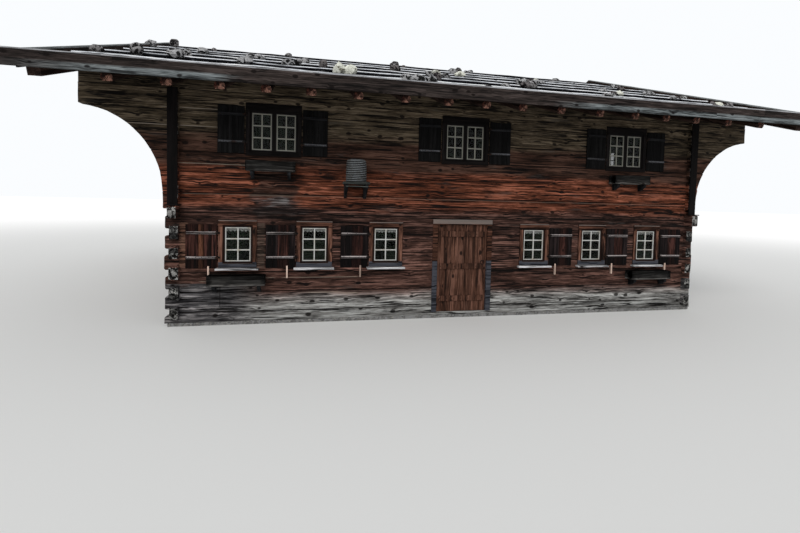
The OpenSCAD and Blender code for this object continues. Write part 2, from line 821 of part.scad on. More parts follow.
// Lace valances behind the glass of the front's single windows
module valances() {
    back = sash_y + sash_t;
    color("#e8e6df") on_front() at_singles(front_x)
        translate([-sash_w / 2, back, sash_h - valance_h]) cube([sash_w, lace_t, valance_h]);
}

// Shutters

// Boarded shutter lying against the wall, its lower left corner at the origin
module shutter(w, h) {
    translate([0, -shutter_t, 0]) cube([w, shutter_t, h]);
    for (z = [batten_foot_in, h - batten_top_in])
        translate([batten_w / 3, -shutter_t - batten_t, z - batten_w / 2])
            cube([w - 2 * batten_w / 3, batten_t, batten_w]);
}

module front_shutters() {
    single_off = single_w / 2 + shutter_gap;
    double_off = double_w / 2 + shutter_gap;
    color("#33251c") on_front() {
        for (i = [0:2]) both_ends()
            translate([-half_l + window_first + i * window_step - single_off - shutter_w, 0,
                shutter_z]) shutter(shutter_w, shutter_h);
        for (x = pair_x) translate([x, 0, z_storey + pair_z - pair_shutter_drop]) both_ends()
            translate([double_off, 0, 0]) shutter(pair_shutter_w, pair_shutter_h);
    }
}

// Peg under a shutter: its lip catches the shutter's foot, which is at z = 0
module shutter_peg() {
    difference() {
        translate([0, -shutter_t - peg_lip, peg_catch - peg_l]) cube([peg_t, shutter_t + peg_lip, peg_l]);
        translate([-eps, -shutter_t, 0]) cube([peg_t + 2 * eps, shutter_t + eps, peg_catch + eps]);
    }
}

// Pegs that hold the lower shutters open
module shutter_pegs() {
    color("#b79a72") on_front() for (i = [0:2]) both_ends()
        translate([-half_l + window_first + i * window_step - single_w / 2 - shutter_gap - shutter_w * peg_place,
            0, shutter_z]) shutter_peg();
}

// Flower boxes

module flower_box(l) {
    translate([-l / 2, -box_d, 0]) difference() {
        cube([l, box_d, box_h]);
        translate([box_t, box_t, box_t]) cube([l - 2 * box_t, box_d - 2 * box_t, box_h]);
    }
}
// Bracket under a shelf or a box that reaches out by deep
module bracket(deep) {
    reach = deep * bracket_out;
    drop = deep * bracket_down;
    translate([-bracket_w / 2, 0, 0]) rotate([90, 0, 90]) linear_extrude(bracket_w)
        polygon([[0, 0], [-reach, 0], [-reach, -bracket_w], [-bracket_w, -drop], [0, -drop]]);
}
module box_places() {
    both_ends() translate([-half_l + window_first - low_box_shift, 0, z_logs + low_box_z]) {
        $box_l = low_box_l;
        children();
    }
    both_ends() translate([-half_l + pair_first - high_box_shift, 0, z_storey + high_box_z]) {
        $box_l = high_box_l;
        children();
    }
}
module flower_boxes() { color("#9c9890") on_front() box_places() flower_box($box_l); }
module box_brackets() {
    color("#2c241e") on_front() box_places() for (s = [-1, 1])
        translate([s * ($box_l / 2 - 2 * bracket_w), 0, 0]) bracket(box_d);
}

// Basket on its shelf

module basket_shelf() {
    deep = basket_d + 2 * basket_gap;
    color("#8f8b82") on_front() translate([-half_l + basket_x, 0, z_storey + shelf_z]) {
        translate([-shelf_w / 2, -deep, -shelf_t]) cube([shelf_w, deep, shelf_t]);
        for (s = [-1, 1]) translate([s * (shelf_w / 2 - bracket_w), 0, -shelf_t]) bracket(deep);
        translate([-shelf_w / 2 + bracket_w / 2, -deep * bracket_out - shelf_rail_t, -shelf_t - bracket_w])
            cube([shelf_w - bracket_w, shelf_rail_t, shelf_rail_t]);
    }
}

// Coiled straw: one rounded step a coil, narrower towards the domed crown
module straw_basket() {
    coil = (basket_h - crown_h) / basket_coils;
    r = basket_d / 2;
    bulge = coil / 5;
    crown_r = r - bulge - crown_in;
    function narrowed(i) = r - crown_in * pow(i / (basket_coils - 1), 4);
    color("#a9a598") on_front()
        translate([-half_l + basket_x, -r - basket_gap, z_storey + shelf_z]) rotate_extrude($fn = 64)
        polygon(concat([[0, 0]],
            [for (i = [0:basket_coils - 1], p = [[bulge, 0.04], [0, 0.3], [0, 0.7], [bulge, 0.96]])
                [narrowed(i) - p[0], (i + p[1]) * coil]],
            [for (turn = [25:25:75]) [crown_r * cos(turn), basket_h - crown_h * (1 - sin(turn))]],
            [[0, basket_h]]));
}

// Door

module door_frame() {
    color("#3b281b") on_front() translate([0, 0, z_floor])
        upright(-casing_proud, log_t + casing_proud) difference() {
            mid_square(door_full_w, door_full_h, 0);
            mid_square(door_w, door_h, -eps);
        }
}

module door_leaf() {
    color("#4a3020") on_front() translate([0, border_d, z_floor]) {
        translate([-door_w / 2, 0, 0]) cube([door_w, door_t, door_h]);
        for (share = [ledge_low, (ledge_low + ledge_high) / 2, ledge_high])
            translate([-door_w / 2 + batten_w, -batten_t, share * door_h])
            cube([door_w - 2 * batten_w, batten_t, 2 * batten_w]);
    }
}

stone_footing();
ground_floor();
upper_floor();
floor_joists();
front_wall_ground();
front_wall_upper();
back_wall_ground();
back_wall_upper();
left_wall_ground();
left_wall_upper();
right_wall_ground();
right_wall_upper();
left_gable();
right_gable();
corner_posts();
eave_purlins();
roof_purlins();
purlin_corbels();
front_rafters();
back_rafters();
front_roof_boards();
back_roof_boards();
front_shingles();
back_shingles();
ridge_boards();
front_fascia();
back_fascia();
verge_boards();
front_weight_poles();
back_weight_poles();
front_casings();
front_sashes();
front_panes();
back_casings();
back_sashes();
back_panes();
gable_casings();
gable_sashes();
gable_panes();
window_sills();
front_shutters();
shutter_pegs();
flower_boxes();
box_brackets();
basket_shelf();
straw_basket();
door_frame();
door_leaf();
valances();
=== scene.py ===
"""Finish of the alpine log farmhouse: hewn logs, shingles, weight stones, shutters, basket and light."""

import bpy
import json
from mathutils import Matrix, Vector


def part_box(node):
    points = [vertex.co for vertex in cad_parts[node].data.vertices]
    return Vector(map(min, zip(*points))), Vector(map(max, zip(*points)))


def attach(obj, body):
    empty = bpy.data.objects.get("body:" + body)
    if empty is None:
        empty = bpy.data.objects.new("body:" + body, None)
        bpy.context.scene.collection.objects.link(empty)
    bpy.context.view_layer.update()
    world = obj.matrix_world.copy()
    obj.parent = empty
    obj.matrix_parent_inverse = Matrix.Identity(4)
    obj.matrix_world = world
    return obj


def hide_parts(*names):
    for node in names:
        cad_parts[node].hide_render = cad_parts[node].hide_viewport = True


bl_info = {
    "name": "Alpine Log Farmhouse",
    "version": (1, 0, 0),
    "blender": (4, 5, 0),
    "location": "View3D > Sidebar > Farmhouse",
    "description": "Builds the finish of a log farmhouse around its packed frame",
    "category": "Object",
}

import json
import math
import random

import bmesh
import bpy
from mathutils import Matrix, Vector, noise

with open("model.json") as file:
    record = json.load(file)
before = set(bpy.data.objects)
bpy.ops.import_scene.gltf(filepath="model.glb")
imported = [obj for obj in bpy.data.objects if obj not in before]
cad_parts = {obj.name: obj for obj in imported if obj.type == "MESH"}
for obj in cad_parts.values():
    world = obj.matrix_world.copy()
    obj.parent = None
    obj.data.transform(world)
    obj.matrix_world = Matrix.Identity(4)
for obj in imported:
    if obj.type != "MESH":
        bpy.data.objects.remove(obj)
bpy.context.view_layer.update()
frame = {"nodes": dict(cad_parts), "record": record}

# Places taken from the frame
WALL_NODES = [n for n in sorted(frame["nodes"]) if "_wall_" in n or n.endswith("_gable")]
HALF_L = -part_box("left_wall_upper")[0].x
HALF_D = -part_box("front_wall_upper")[0].y
LOG_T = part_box("left_wall_upper")[1].x + HALF_L
Z_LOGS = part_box("front_wall_ground")[0].z
Z_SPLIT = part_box("front_wall_ground")[1].z
Z_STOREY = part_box("left_wall_ground")[1].z
Z_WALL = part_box("front_wall_upper")[1].z
COURSE = 2 * (Z_STOREY - Z_SPLIT)
DECK_LOW, DECK_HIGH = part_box("front_roof_boards")
DECK_T = DECK_HIGH.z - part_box("left_gable")[1].z
PITCH = math.atan2(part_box("verge_boards")[1].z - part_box("front_fascia")[1].z, -DECK_LOW.y)
ROOF_HALF = -DECK_LOW.x
LOW_SHUTTER_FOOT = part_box("front_shutters")[0].z
HIGH_SHUTTER_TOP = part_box("front_shutters")[1].z
LOW_BOX_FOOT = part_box("flower_boxes")[0].z
HIGH_BOX_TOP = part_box("flower_boxes")[1].z

# Steps of the shingle cover
SHINGLE_ROWS = 28
ROW_RUN = -DECK_LOW.y / math.cos(PITCH) / SHINGLE_ROWS
LAYER_T = 0.028

# Half of the gap between two boards
BOARD_GAP = 0.002

TINY = 0.0001
ZERO = Vector((0, 0, 0))
UNIT = Matrix.Identity(4)
HALF_TURN = Matrix.Rotation(math.pi, 4, "Z")
SIDES = ("front", "back")


# Properties

def colour(label, text, value):
    """A colour that the panel shows."""
    return bpy.props.FloatVectorProperty(name=label, description=text, subtype="COLOR", size=3, min=0, max=1,
                                         default=value)


def length(label, text, value):
    """A length that the panel shows."""
    return bpy.props.FloatProperty(name=label, description=text, subtype="DISTANCE", unit="LENGTH", min=0,
                                   default=value)


def angle(label, text, degrees):
    """An angle that the panel shows."""
    return bpy.props.FloatProperty(name=label, description=text, subtype="ANGLE", unit="ROTATION",
                                   default=math.radians(degrees))


class FarmhouseColours(bpy.types.PropertyGroup):
    """Colours of the woods, the paint, the stones and the straw."""

    log_foot: colour("Log foot", "Grey logs near the ground", (0.24, 0.235, 0.225))
    log_ground: colour("Ground logs", "Dark red-brown logs of the ground floor", (0.042, 0.02, 0.015))
    log_warm: colour("Warm logs", "Orange-brown logs at the foot of the upper floor", (0.1, 0.03, 0.015))
    log_mid: colour("Middle logs", "Reddish logs between the warm and the top ones", (0.044, 0.021, 0.014))
    log_top: colour("Top logs", "Olive-brown logs under the eaves", (0.075, 0.056, 0.036))
    post: colour("Corner post", "Nearly black boards round the corner posts", (0.0035, 0.0025, 0.0025))
    casing: colour("Casings", "Window casings of the ground floor", (0.075, 0.033, 0.021))
    dark_casing: colour("Dark casings", "Window casings under the eaves", (0.007, 0.0055, 0.0055))
    paint: colour("Paint", "Paint of the casements", (0.48, 0.485, 0.47))
    silver: colour("Silver wood", "Weathered planks of the sills", (0.52, 0.515, 0.53))
    # The pale pole colour is raised past that of bleached wood to stand partly for painted highlight on their
    # tops
    pole: colour("Poles", "Pale poles on the roof", (0.8, 0.83, 0.88))
    shutter: colour("Shutters", "Boards of the shutters", (0.028, 0.01, 0.0075))
    dark_shutter: colour("Dark shutters", "Boards of the shutters under the eaves", (0.005, 0.0048, 0.005))
    rafter: colour("Rafters", "Rafters and purlins", (0.03, 0.017, 0.013))
    rafter_end: colour("Rafter ends", "End grain of the rafters", (0.3, 0.15, 0.11))
    shingle: colour("Shingles", "Split shingles on the roof", (0.042, 0.042, 0.045))
    fascia: colour("Fascia", "Upper board of the fascia", (0.028, 0.021, 0.019))
    fascia_low: colour("Lower fascia", "Lower board of the fascia", (0.12, 0.135, 0.14))
    stone: colour("Stones", "Weight stones and footing", (0.27, 0.27, 0.275))
    straw: colour("Straw", "Old grey straw", (0.13, 0.14, 0.15))
    peg: colour("Pegs", "Fresh wood of the pegs", (0.6, 0.44, 0.36))
    box: colour("Flower boxes", "Grey-brown boards of the flower boxes", (0.036, 0.034, 0.032))
    iron: colour("Iron", "Forged hinges and nails", (0.012, 0.011, 0.011))


class FarmhouseSizes(bpy.types.PropertyGroup):
    """Sizes of the pieces that are added to the frame."""

    hewn_depth: length("Hewn depth", "How far the faces of the logs sway", 0.011)
    course_depth: length("Course depth", "How far one log stands proud of another", 0.014)
    shingle_width: length("Shingle width", "Mean width of a shingle", 0.16)
    shingle_thickness: length("Shingle thickness", "Thickness of a shingle at its butt", 0.018)
    stone_size: length("Stone size", "Mean size of a weight stone", 0.26)
    nail_size: length("Nail size", "Radius of a forged nail's head", 0.009)
    strap_height: length("Strap height", "Height of the hinge straps", 0.034)
    # Dark strip round the casements: worn paint and painted shade
    worn_shaded_rim: length("Worn rim", "Strip without paint round the casements", 0.013)
    coil_radius: length("Coil radius", "Radius of one straw coil", 0.0195)


class FarmhouseView(bpy.types.PropertyGroup):
    """Camera and lamps."""

    eye_side: length("Eye side", "Camera from the left gable's outer face", 2.58)
    eye_back: length("Eye distance", "Camera in front of the facade", 9.05)
    eye_height: length("Eye height", "Camera above the ground", 2.508)
    yaw: angle("Yaw", "Turn to the right of the facade's normal", 12.02)
    tilt: angle("Tilt", "Turn above the horizon", -2.48)
    roll: angle("Roll", "Turn about the line of sight", 1.33)
    focal: bpy.props.FloatProperty(name="Focal length", description="Focal length for a sensor 36 mm wide",
                                   subtype="DISTANCE_CAMERA", default=19.52)
    shift: bpy.props.FloatProperty(name="Shift", description="Vertical shift of the lens", default=-0.0569)
    sky: bpy.props.FloatProperty(name="Sky", description="Strength of the light from the sky", default=0.62)
    key: bpy.props.FloatProperty(name="Key", description="Strength of the soft sun", default=1.5)


# Shader nodes

class Value:
    """Output of a shader node; arithmetic with it adds nodes to its tree."""

    def __init__(self, node, output=0):
        self.tree = node.id_data
        self.socket = node.outputs[output]

    def run(self, operation, *others):
        return Value(put(self.tree, "Math", dict(enumerate((self, *others))), operation=operation))

    def vector(self, operation, other):
        return Value(put(self.tree, "VectorMath", {0: self, 1: other}, operation=operation))

    def length(self):
        return Value(put(self.tree, "VectorMath", {0: self}, operation="LENGTH"), "Value")

    def axes(self):
        node = put(self.tree, "SeparateXYZ", {"Vector": self})
        return [Value(node, i) for i in range(3)]

    def __add__(self, other):
        return self.run("ADD", other)

    def __sub__(self, other):
        return self.run("SUBTRACT", other)

    def __rsub__(self, other):
        return Value(put(self.tree, "Math", {0: other, 1: self}, operation="SUBTRACT"))

    def __mul__(self, other):
        return self.run("MULTIPLY", other)

    def __truediv__(self, other):
        return self.run("DIVIDE", other)

    def __abs__(self):
        return self.run("ABSOLUTE")


def fill(socket, value):
    """Links an input to a Value or sets it; a colour may come without its alpha."""
    if isinstance(value, Value):
        value.tree.links.new(value.socket, socket)
    elif socket.type == "RGBA" and len(value) == 3:
        socket.default_value = (*value, 1.0)
    else:
        socket.default_value = value


def put(tree, kind, inputs=None, **settings):
    """A new shader node with its settings and inputs."""
    made = tree.nodes.new("ShaderNode" + kind)
    for key, value in settings.items():
        setattr(made, key, value)
    for key, value in (inputs or {}).items():
        fill(made.inputs[key], value)
    return made


def tree_of(*values):
    """The tree of the first Value among some values."""
    return next(value.tree for value in values if isinstance(value, Value))


def smooth(value, low, high):
    """0 below low and 1 above high, or the other way round where low is the larger."""
    start, end = (1.0, 0.0) if low > high else (0.0, 1.0)
    low, high = min(low, high), max(low, high)
    values = {"Value": value, "From Min": low, "From Max": high, "To Min": start, "To Max": end}
    return Value(put(value.tree, "MapRange", values, interpolation_type="SMOOTHSTEP"), "Result")


def between(value, low, high, soft):
    """1 from low to high and 0 outside, with soft borders."""
    return smooth(value, low - soft, low + soft) * smooth(value, high + soft, high - soft)


def rgba(shade, factor=1.0):
    """A colour times a factor, for a socket."""
    return (*[min(1.0, c * factor) for c in shade], 1.0)


def mixed(factor, first, second, mode="MIX"):
    """A colour between two others."""
    made = put(tree_of(factor, first, second), "Mix", {0: factor, 6: first, 7: second}, data_type="RGBA",
               blend_type=mode, clamp_factor=True)
    return Value(made, 2)


def dimmed(shade, level):
    """A colour times a value."""
    grey = put(level.tree, "CombineColor", {0: level, 1: level, 2: level})
    return mixed(1.0, shade, Value(grey), "MULTIPLY")


def joined(*values):
    """A vector of values."""
    return Value(put(tree_of(*values), "CombineXYZ", dict(enumerate(values))))


def stretched(vector, scale, shift=ZERO, turn=ZERO):
    """A vector after a Mapping node."""
    return Value(put(vector.tree, "Mapping", {"Vector": vector, "Scale": scale, "Location": shift,
                                              "Rotation": turn}))


def clouds(vector, detail=4.0, roughness=0.6, distortion=0.0, scale=1.0):
    """Value of a Noise Texture."""
    return Value(put(vector.tree, "TexNoise", {"Vector": vector, "Scale": scale, "Detail": detail,
                                               "Roughness": roughness, "Distortion": distortion}))


def random_of(value):
    """A random value for each number."""
    return Value(put(value.tree, "TexWhiteNoise", {"W": value}, noise_dimensions="1D"))


def attribute(material, name):
    """An attribute of the mesh."""
    return Value(put(material.node_tree, "Attribute", attribute_name=name), "Fac")


def new_group(name, inputs, outputs):
    """An empty shader group with its sockets: (inputs by name, output node)."""
    tree = bpy.data.node_groups.new(name, "ShaderNodeTree")
    for label, kind, value in inputs:
        socket = tree.interface.new_socket(name=label, in_out="INPUT", socket_type="NodeSocket" + kind)
        if value is not None:
            socket.default_value = (value, value, value, 1.0) if kind == "Color" else value
    for label, kind in outputs:
        tree.interface.new_socket(name=label, in_out="OUTPUT", socket_type="NodeSocket" + kind)
    start = tree.nodes.new("NodeGroupInput")
    return {label: Value(start, label) for label, _, _ in inputs}, tree.nodes.new("NodeGroupOutput")


def weathered_wood_group():
    """Wood with its grain along x: streaks, knots, drying cracks."""
    name = "weathered_wood"
    if name in bpy.data.node_groups:
        return bpy.data.node_groups[name]
    inputs = [("Vector", "Vector", None), ("Dark", "Color", 0.02), ("Mid", "Color", 0.1),
              ("Light", "Color", 0.3), ("Knots", "Float", 0.5), ("Cracks", "Float", 0.7),
              ("Fade", "Float", 0.5)]
    outputs = [("Color", "Color"), ("Height", "Float"), ("Roughness", "Float")]
    given, out = new_group(name, inputs, outputs)
    # Knots: some cells of a pattern that lies in the face, whichever way it looks
    vector = given["Vector"]
    x, y, z = vector.axes()
    cells = put(vector.tree, "TexVoronoi", {"Vector": joined(x * 2.8, (z + y * 0.77) * 4.4), "Scale": 1.0,
                                            "Randomness": 1.0}, voronoi_dimensions="2D")
    distance = Value(cells, "Distance")
    chosen = put(vector.tree, "SeparateColor", {"Color": Value(cells, "Color")})
    knot_here = given["Knots"].run("GREATER_THAN", Value(chosen, 0))
    near_knot = smooth(distance, 0.42, 0.12) * knot_here
    ragged = clouds(stretched(vector, (6.0, 14.0, 14.0)), 3.0)
    knot = smooth(distance + Value(chosen, 1) * 0.1 + ragged * 0.2, 0.3, 0.22) * knot_here
    # The grain swings round the knots
    vector = vector.vector("ADD", joined(0.0, 0.0, near_knot * 0.018))
    broad = clouds(stretched(vector, (0.8, 7.0, 11.0)), 4.0, 0.6, 0.2)
    streak = clouds(stretched(vector, (2.1, 28.0, 40.0)), 5.0, 0.68, 0.2)
    fibre = clouds(stretched(vector, (6.0, 80.0, 110.0), (4, 1, 7)), 2.0)
    # Cracks: contour lines of long noises, broken up by another, with a pale edge on one side
    lines = clouds(stretched(vector, (0.3, 6.0, 11.0)), 4.0, 0.55, 0.2)
    finer = clouds(stretched(vector, (0.8, 18.0, 26.0), (3, 8, 2)), 3.0, 0.55, 0.2)
    breaks = clouds(stretched(vector, (1.4, 3.0, 6.0), (7, 3, 1)), 3.0)
    broken = smooth(breaks, 0.44, 0.54)
    crack = smooth(abs(lines - 0.5), 0.045, 0.016) * broken
    fine = smooth(abs(finer - 0.5), 0.035, 0.01) * smooth(breaks, 0.56, 0.46)
    crack = crack.run("MAXIMUM", fine * 0.5) * given["Cracks"]
    edge = smooth(abs(lines - 0.575), 0.03, 0.01) * broken * given["Cracks"]
    # Colour by the tone of streaks and fibres
    tone = streak * 0.72 + fibre * 0.28
    lit = tone + (broad - 0.5) * given["Fade"]
    base = mixed(smooth(lit, 0.37, 0.5), given["Dark"], given["Mid"])
    base = mixed(smooth(lit, 0.52, 0.64), base, given["Light"])
    base = mixed(edge * 0.6, base, given["Light"])
    base = mixed(knot * 0.9, base, (0.005, 0.003, 0.0025))
    base = mixed(crack * 0.94, base, (0.002, 0.0015, 0.0015))
    fill(out.inputs["Color"], base)
    fill(out.inputs["Height"], tone * 0.8 - crack)
    fill(out.inputs["Roughness"], tone * 0.25 + 0.72)
    return vector.tree


def end_grain_group():
    """Cut end of a log: rings round its middle and cracks that run out from it."""
    name = "end_grain"
    if name in bpy.data.node_groups:
        return bpy.data.node_groups[name]
    inputs = [("Vector", "Vector", None), ("Dark", "Color", 0.02), ("Light", "Color", 0.2)]
    given, out = new_group(name, inputs, [("Color", "Color"), ("Height", "Float")])
    vector = given["Vector"]
    sway = clouds(vector, 3.0, 0.6, 0.0, 14.0)
    rings = ((vector.length() + sway * 0.02) * 620.0).run("SINE")
    _, y, z = vector.axes()
    rays = Value(put(vector.tree, "TexNoise", {"W": z.run("ARCTAN2", y) * 2.2, "Vector": vector, "Scale": 1.4,
                                               "Detail": 3.0}, noise_dimensions="4D"))
    crack = smooth(abs(rays - 0.5), 0.014, 0.002)
    tone = rings * 0.06 + clouds(vector, 5.0, 0.68, 0.6, 15.0)
    base = mixed(smooth(tone, 0.46, 0.6), given["Dark"], given["Light"])
    fill(out.inputs["Color"], mixed(crack, base, (0.004, 0.003, 0.003)))
    fill(out.inputs["Height"], tone * 0.4 - crack)
    return vector.tree


def new_material(name):
    """A material with an empty tree: (material, place on the object, direction of the face)."""
    material = bpy.data.materials.new(name)
    material.use_nodes = True
    material.node_tree.nodes.clear()
    coords = put(material.node_tree, "TexCoord")
    return material, Value(coords, "Object"), Value(coords, "Normal")


def close_material(material, base, height=None, roughness=0.8, strength=0.5, distance=0.005, specular=0.1,
                   more=None):
    """Gives a material its Principled surface and its bump; more holds further inputs."""
    tree = material.node_tree
    surface = put(tree, "BsdfPrincipled", {"Base Color": base, "Roughness": roughness,
                                           "Specular IOR Level": specular, **(more or {})})
    if height is not None:
        bump = put(tree, "Bump", {"Height": height, "Strength": strength, "Distance": distance})
        fill(surface.inputs["Normal"], Value(bump))
    fill(put(tree, "OutputMaterial").inputs["Surface"], Value(surface))
    return material


def shades(shade, dark=0.3, light=2.0):
    """Dark, middle and light shade of a wood; the light one is a little greyer."""
    grey = sum(shade) / 3 * light
    lit = [c * light * 0.88 + grey * 0.12 for c in shade]
    return rgba(shade, dark), rgba(shade), rgba(lit)


# Order of the axes that lays the grain on x; slope is down the front or the back roof
GRAIN_ORDER = {"x": (0, 1, 2), "y": (1, 0, 2), "z": (2, 1, 0), "slope": (1, 0, 2)}

# How far the grain of one board lies from that of another
BOARD_SHIFT = 40.0


def grain_vector(vector, along):
    """Coordinates turned so that the grain, which runs along the named axis, comes to lie on x."""
    if along == "slope":
        x, y, z = vector.axes()
        vector = stretched(joined(x, abs(y), z), (1, 1, 1), ZERO, (PITCH, 0, 0))
    axes = vector.axes()
    return joined(*[axes[i] for i in GRAIN_ORDER[along]])


def shifted_by(vector, amount):
    """Coordinates moved along the grain by a random value, so that boards differ."""
    return vector.vector("ADD", joined(amount * BOARD_SHIFT, amount * (BOARD_SHIFT / 3)))


def wood(vector, picked, knots=0.35, cracks=0.7, fade=0.9):
    """Weathered wood: (colour, height, roughness)."""
    labels = ("Vector", "Dark", "Mid", "Light", "Knots", "Cracks", "Fade")
    made = put(vector.tree, "Group", dict(zip(labels, (vector, *picked, knots, cracks, fade))),
               node_tree=weathered_wood_group())
    return [Value(made, label) for label in ("Color", "Height", "Roughness")]


def end_grain(vector, dark, light):
    """Cut end of a log: (colour, height)."""
    made = put(vector.tree, "Group", {"Vector": vector, "Dark": dark, "Light": light},
               node_tree=end_grain_group())
    return Value(made, "Color"), Value(made, "Height")


def wood_material(name, shade, along, knots=0.35, cracks=0.7, fade=0.9, board=0.0, board_axis=2, vary=0.0,
                  light=2.0, dark=0.3, hues=(), bands=(), specular=0.1):
    """Plain weathered wood; board gives the width of boards that differ, vary and hues use the random tone,
    and bands are (from height, to height, factor of the colour)."""
    material, place, _ = new_material(name)
    vector = grain_vector(place, along)
    if board:
        row = vector.axes()[board_axis] / board
        gap = smooth(abs(row.run("FRACT") - 0.5), 0.5 - 0.004 / board, 0.5 - 0.001 / board)
        tone = random_of(row.run("FLOOR"))
    else:
        tone = attribute(material, "tone")
    picked = shades(shade, dark, light)
    for number, hue in enumerate(hues):
        border = (number + 1) / (len(hues) + 1)
        chosen = smooth(tone, border - 0.01, border + 0.01)
        picked = [mixed(chosen, old, new) for old, new in zip(picked, shades(hue, dark, light))]
    base, height, rough = wood(shifted_by(vector, tone), picked, knots, cracks, fade)
    if vary:
        base = dimmed(base, tone * (2 * vary) + (1.0 - vary))
    level = place.axes()[2]
    for low, high, factor in bands:
        base = mixed(between(level, low, high, 0.004), base, base.vector("MULTIPLY", (factor,) * 3))
    if board:
        base = mixed(gap, base, (0.006, 0.005, 0.004))
        height = height - gap * 1.5
    return close_material(material, base, height, rough, specular=specular)


def level_lines(place, lines):
    """Thin broken lines along x: (height, from x, to x, strength)."""
    x, _, z = place.axes()
    total = None
    for height, low, high, strength in lines:
        sway = clouds(stretched(place, (0.9, 1, 2), (height * 7, 0, 0)), 3.0)
        line = smooth(abs(z - height + (sway - 0.5) * 0.03), 0.009, 0.004)
        line = line * between(x, low, high, 0.05) * (smooth(sway, 0.28, 0.42) * strength)
        total = line if total is None else total.run("MAXIMUM", line)
    return total


def patch(axes, low, high, soft):
    """1 inside a range of x and height and 0 outside it, with soft borders."""
    return between(axes[0], low[0], high[0], soft) * between(axes[2], low[1], high[1], soft)


# Colours of the foot near the corner and further on; the middle one comes from the panel
NEAR_FOOT = ((0.01, 0.0095, 0.0105), (0.068, 0.065, 0.068), (0.34, 0.32, 0.32))
FAR_FOOT = ((0.032, 0.03, 0.028), None, (0.5, 0.505, 0.49))

# Borders of the log colours above the foot, as (start, end) of each change
ZONE_BORDERS = ((1.08, 1.26), (2.26, 2.46), (3.04, 3.22), (3.62, 3.88))

# Worn wood beside and below the first shutters, dark and grey patches under the high flower box:
# (low corner, high corner, soft border, strength, dark colour, light colour)
WORN_PLACES = (
    ((-5.77, 1.12), (-5.62, 2.02), 0.02, 0.9, (0.035, 0.018, 0.012), (0.24, 0.125, 0.085)),
    ((-4.34, 1.12), (-4.19, 2.02), 0.02, 0.7, (0.025, 0.017, 0.013), (0.17, 0.12, 0.095)),
    ((-5.79, 0.83), (-5.1, 1.14), 0.06, 0.75, (0.03, 0.014, 0.01), (0.21, 0.115, 0.09)),
    ((-4.5, 2.58), (-3.6, 3.06), 0.1, 0.8, (0.004, 0.003, 0.0025), (0.045, 0.036, 0.03)),
    ((-4.4, 2.2), (-3.5, 2.6), 0.12, 0.6, (0.008, 0.006, 0.006), (0.1, 0.085, 0.082)),
    ((-4.12, 2.36), (-3.72, 2.56), 0.06, 0.75, (0.02, 0.018, 0.018), (0.26, 0.25, 0.25)),
)

# Pale edges of logs: (height, from x, to x, strength)
PALE_EDGES = (
    (3.88, -6.9, -4.95, 1.0), (4.22, -6.1, -4.9, 0.8), (3.17, -5.8, -4.4, 0.6), (0.605, -3.5, -2.65, 0.9),
    (0.58, -2.65, -2.3, 0.9), (0.92, -4.2, -2.3, 0.6), (2.58, -5.7, 5.7, 0.25), (0.86, -5.4, -4.4, 0.8),
)


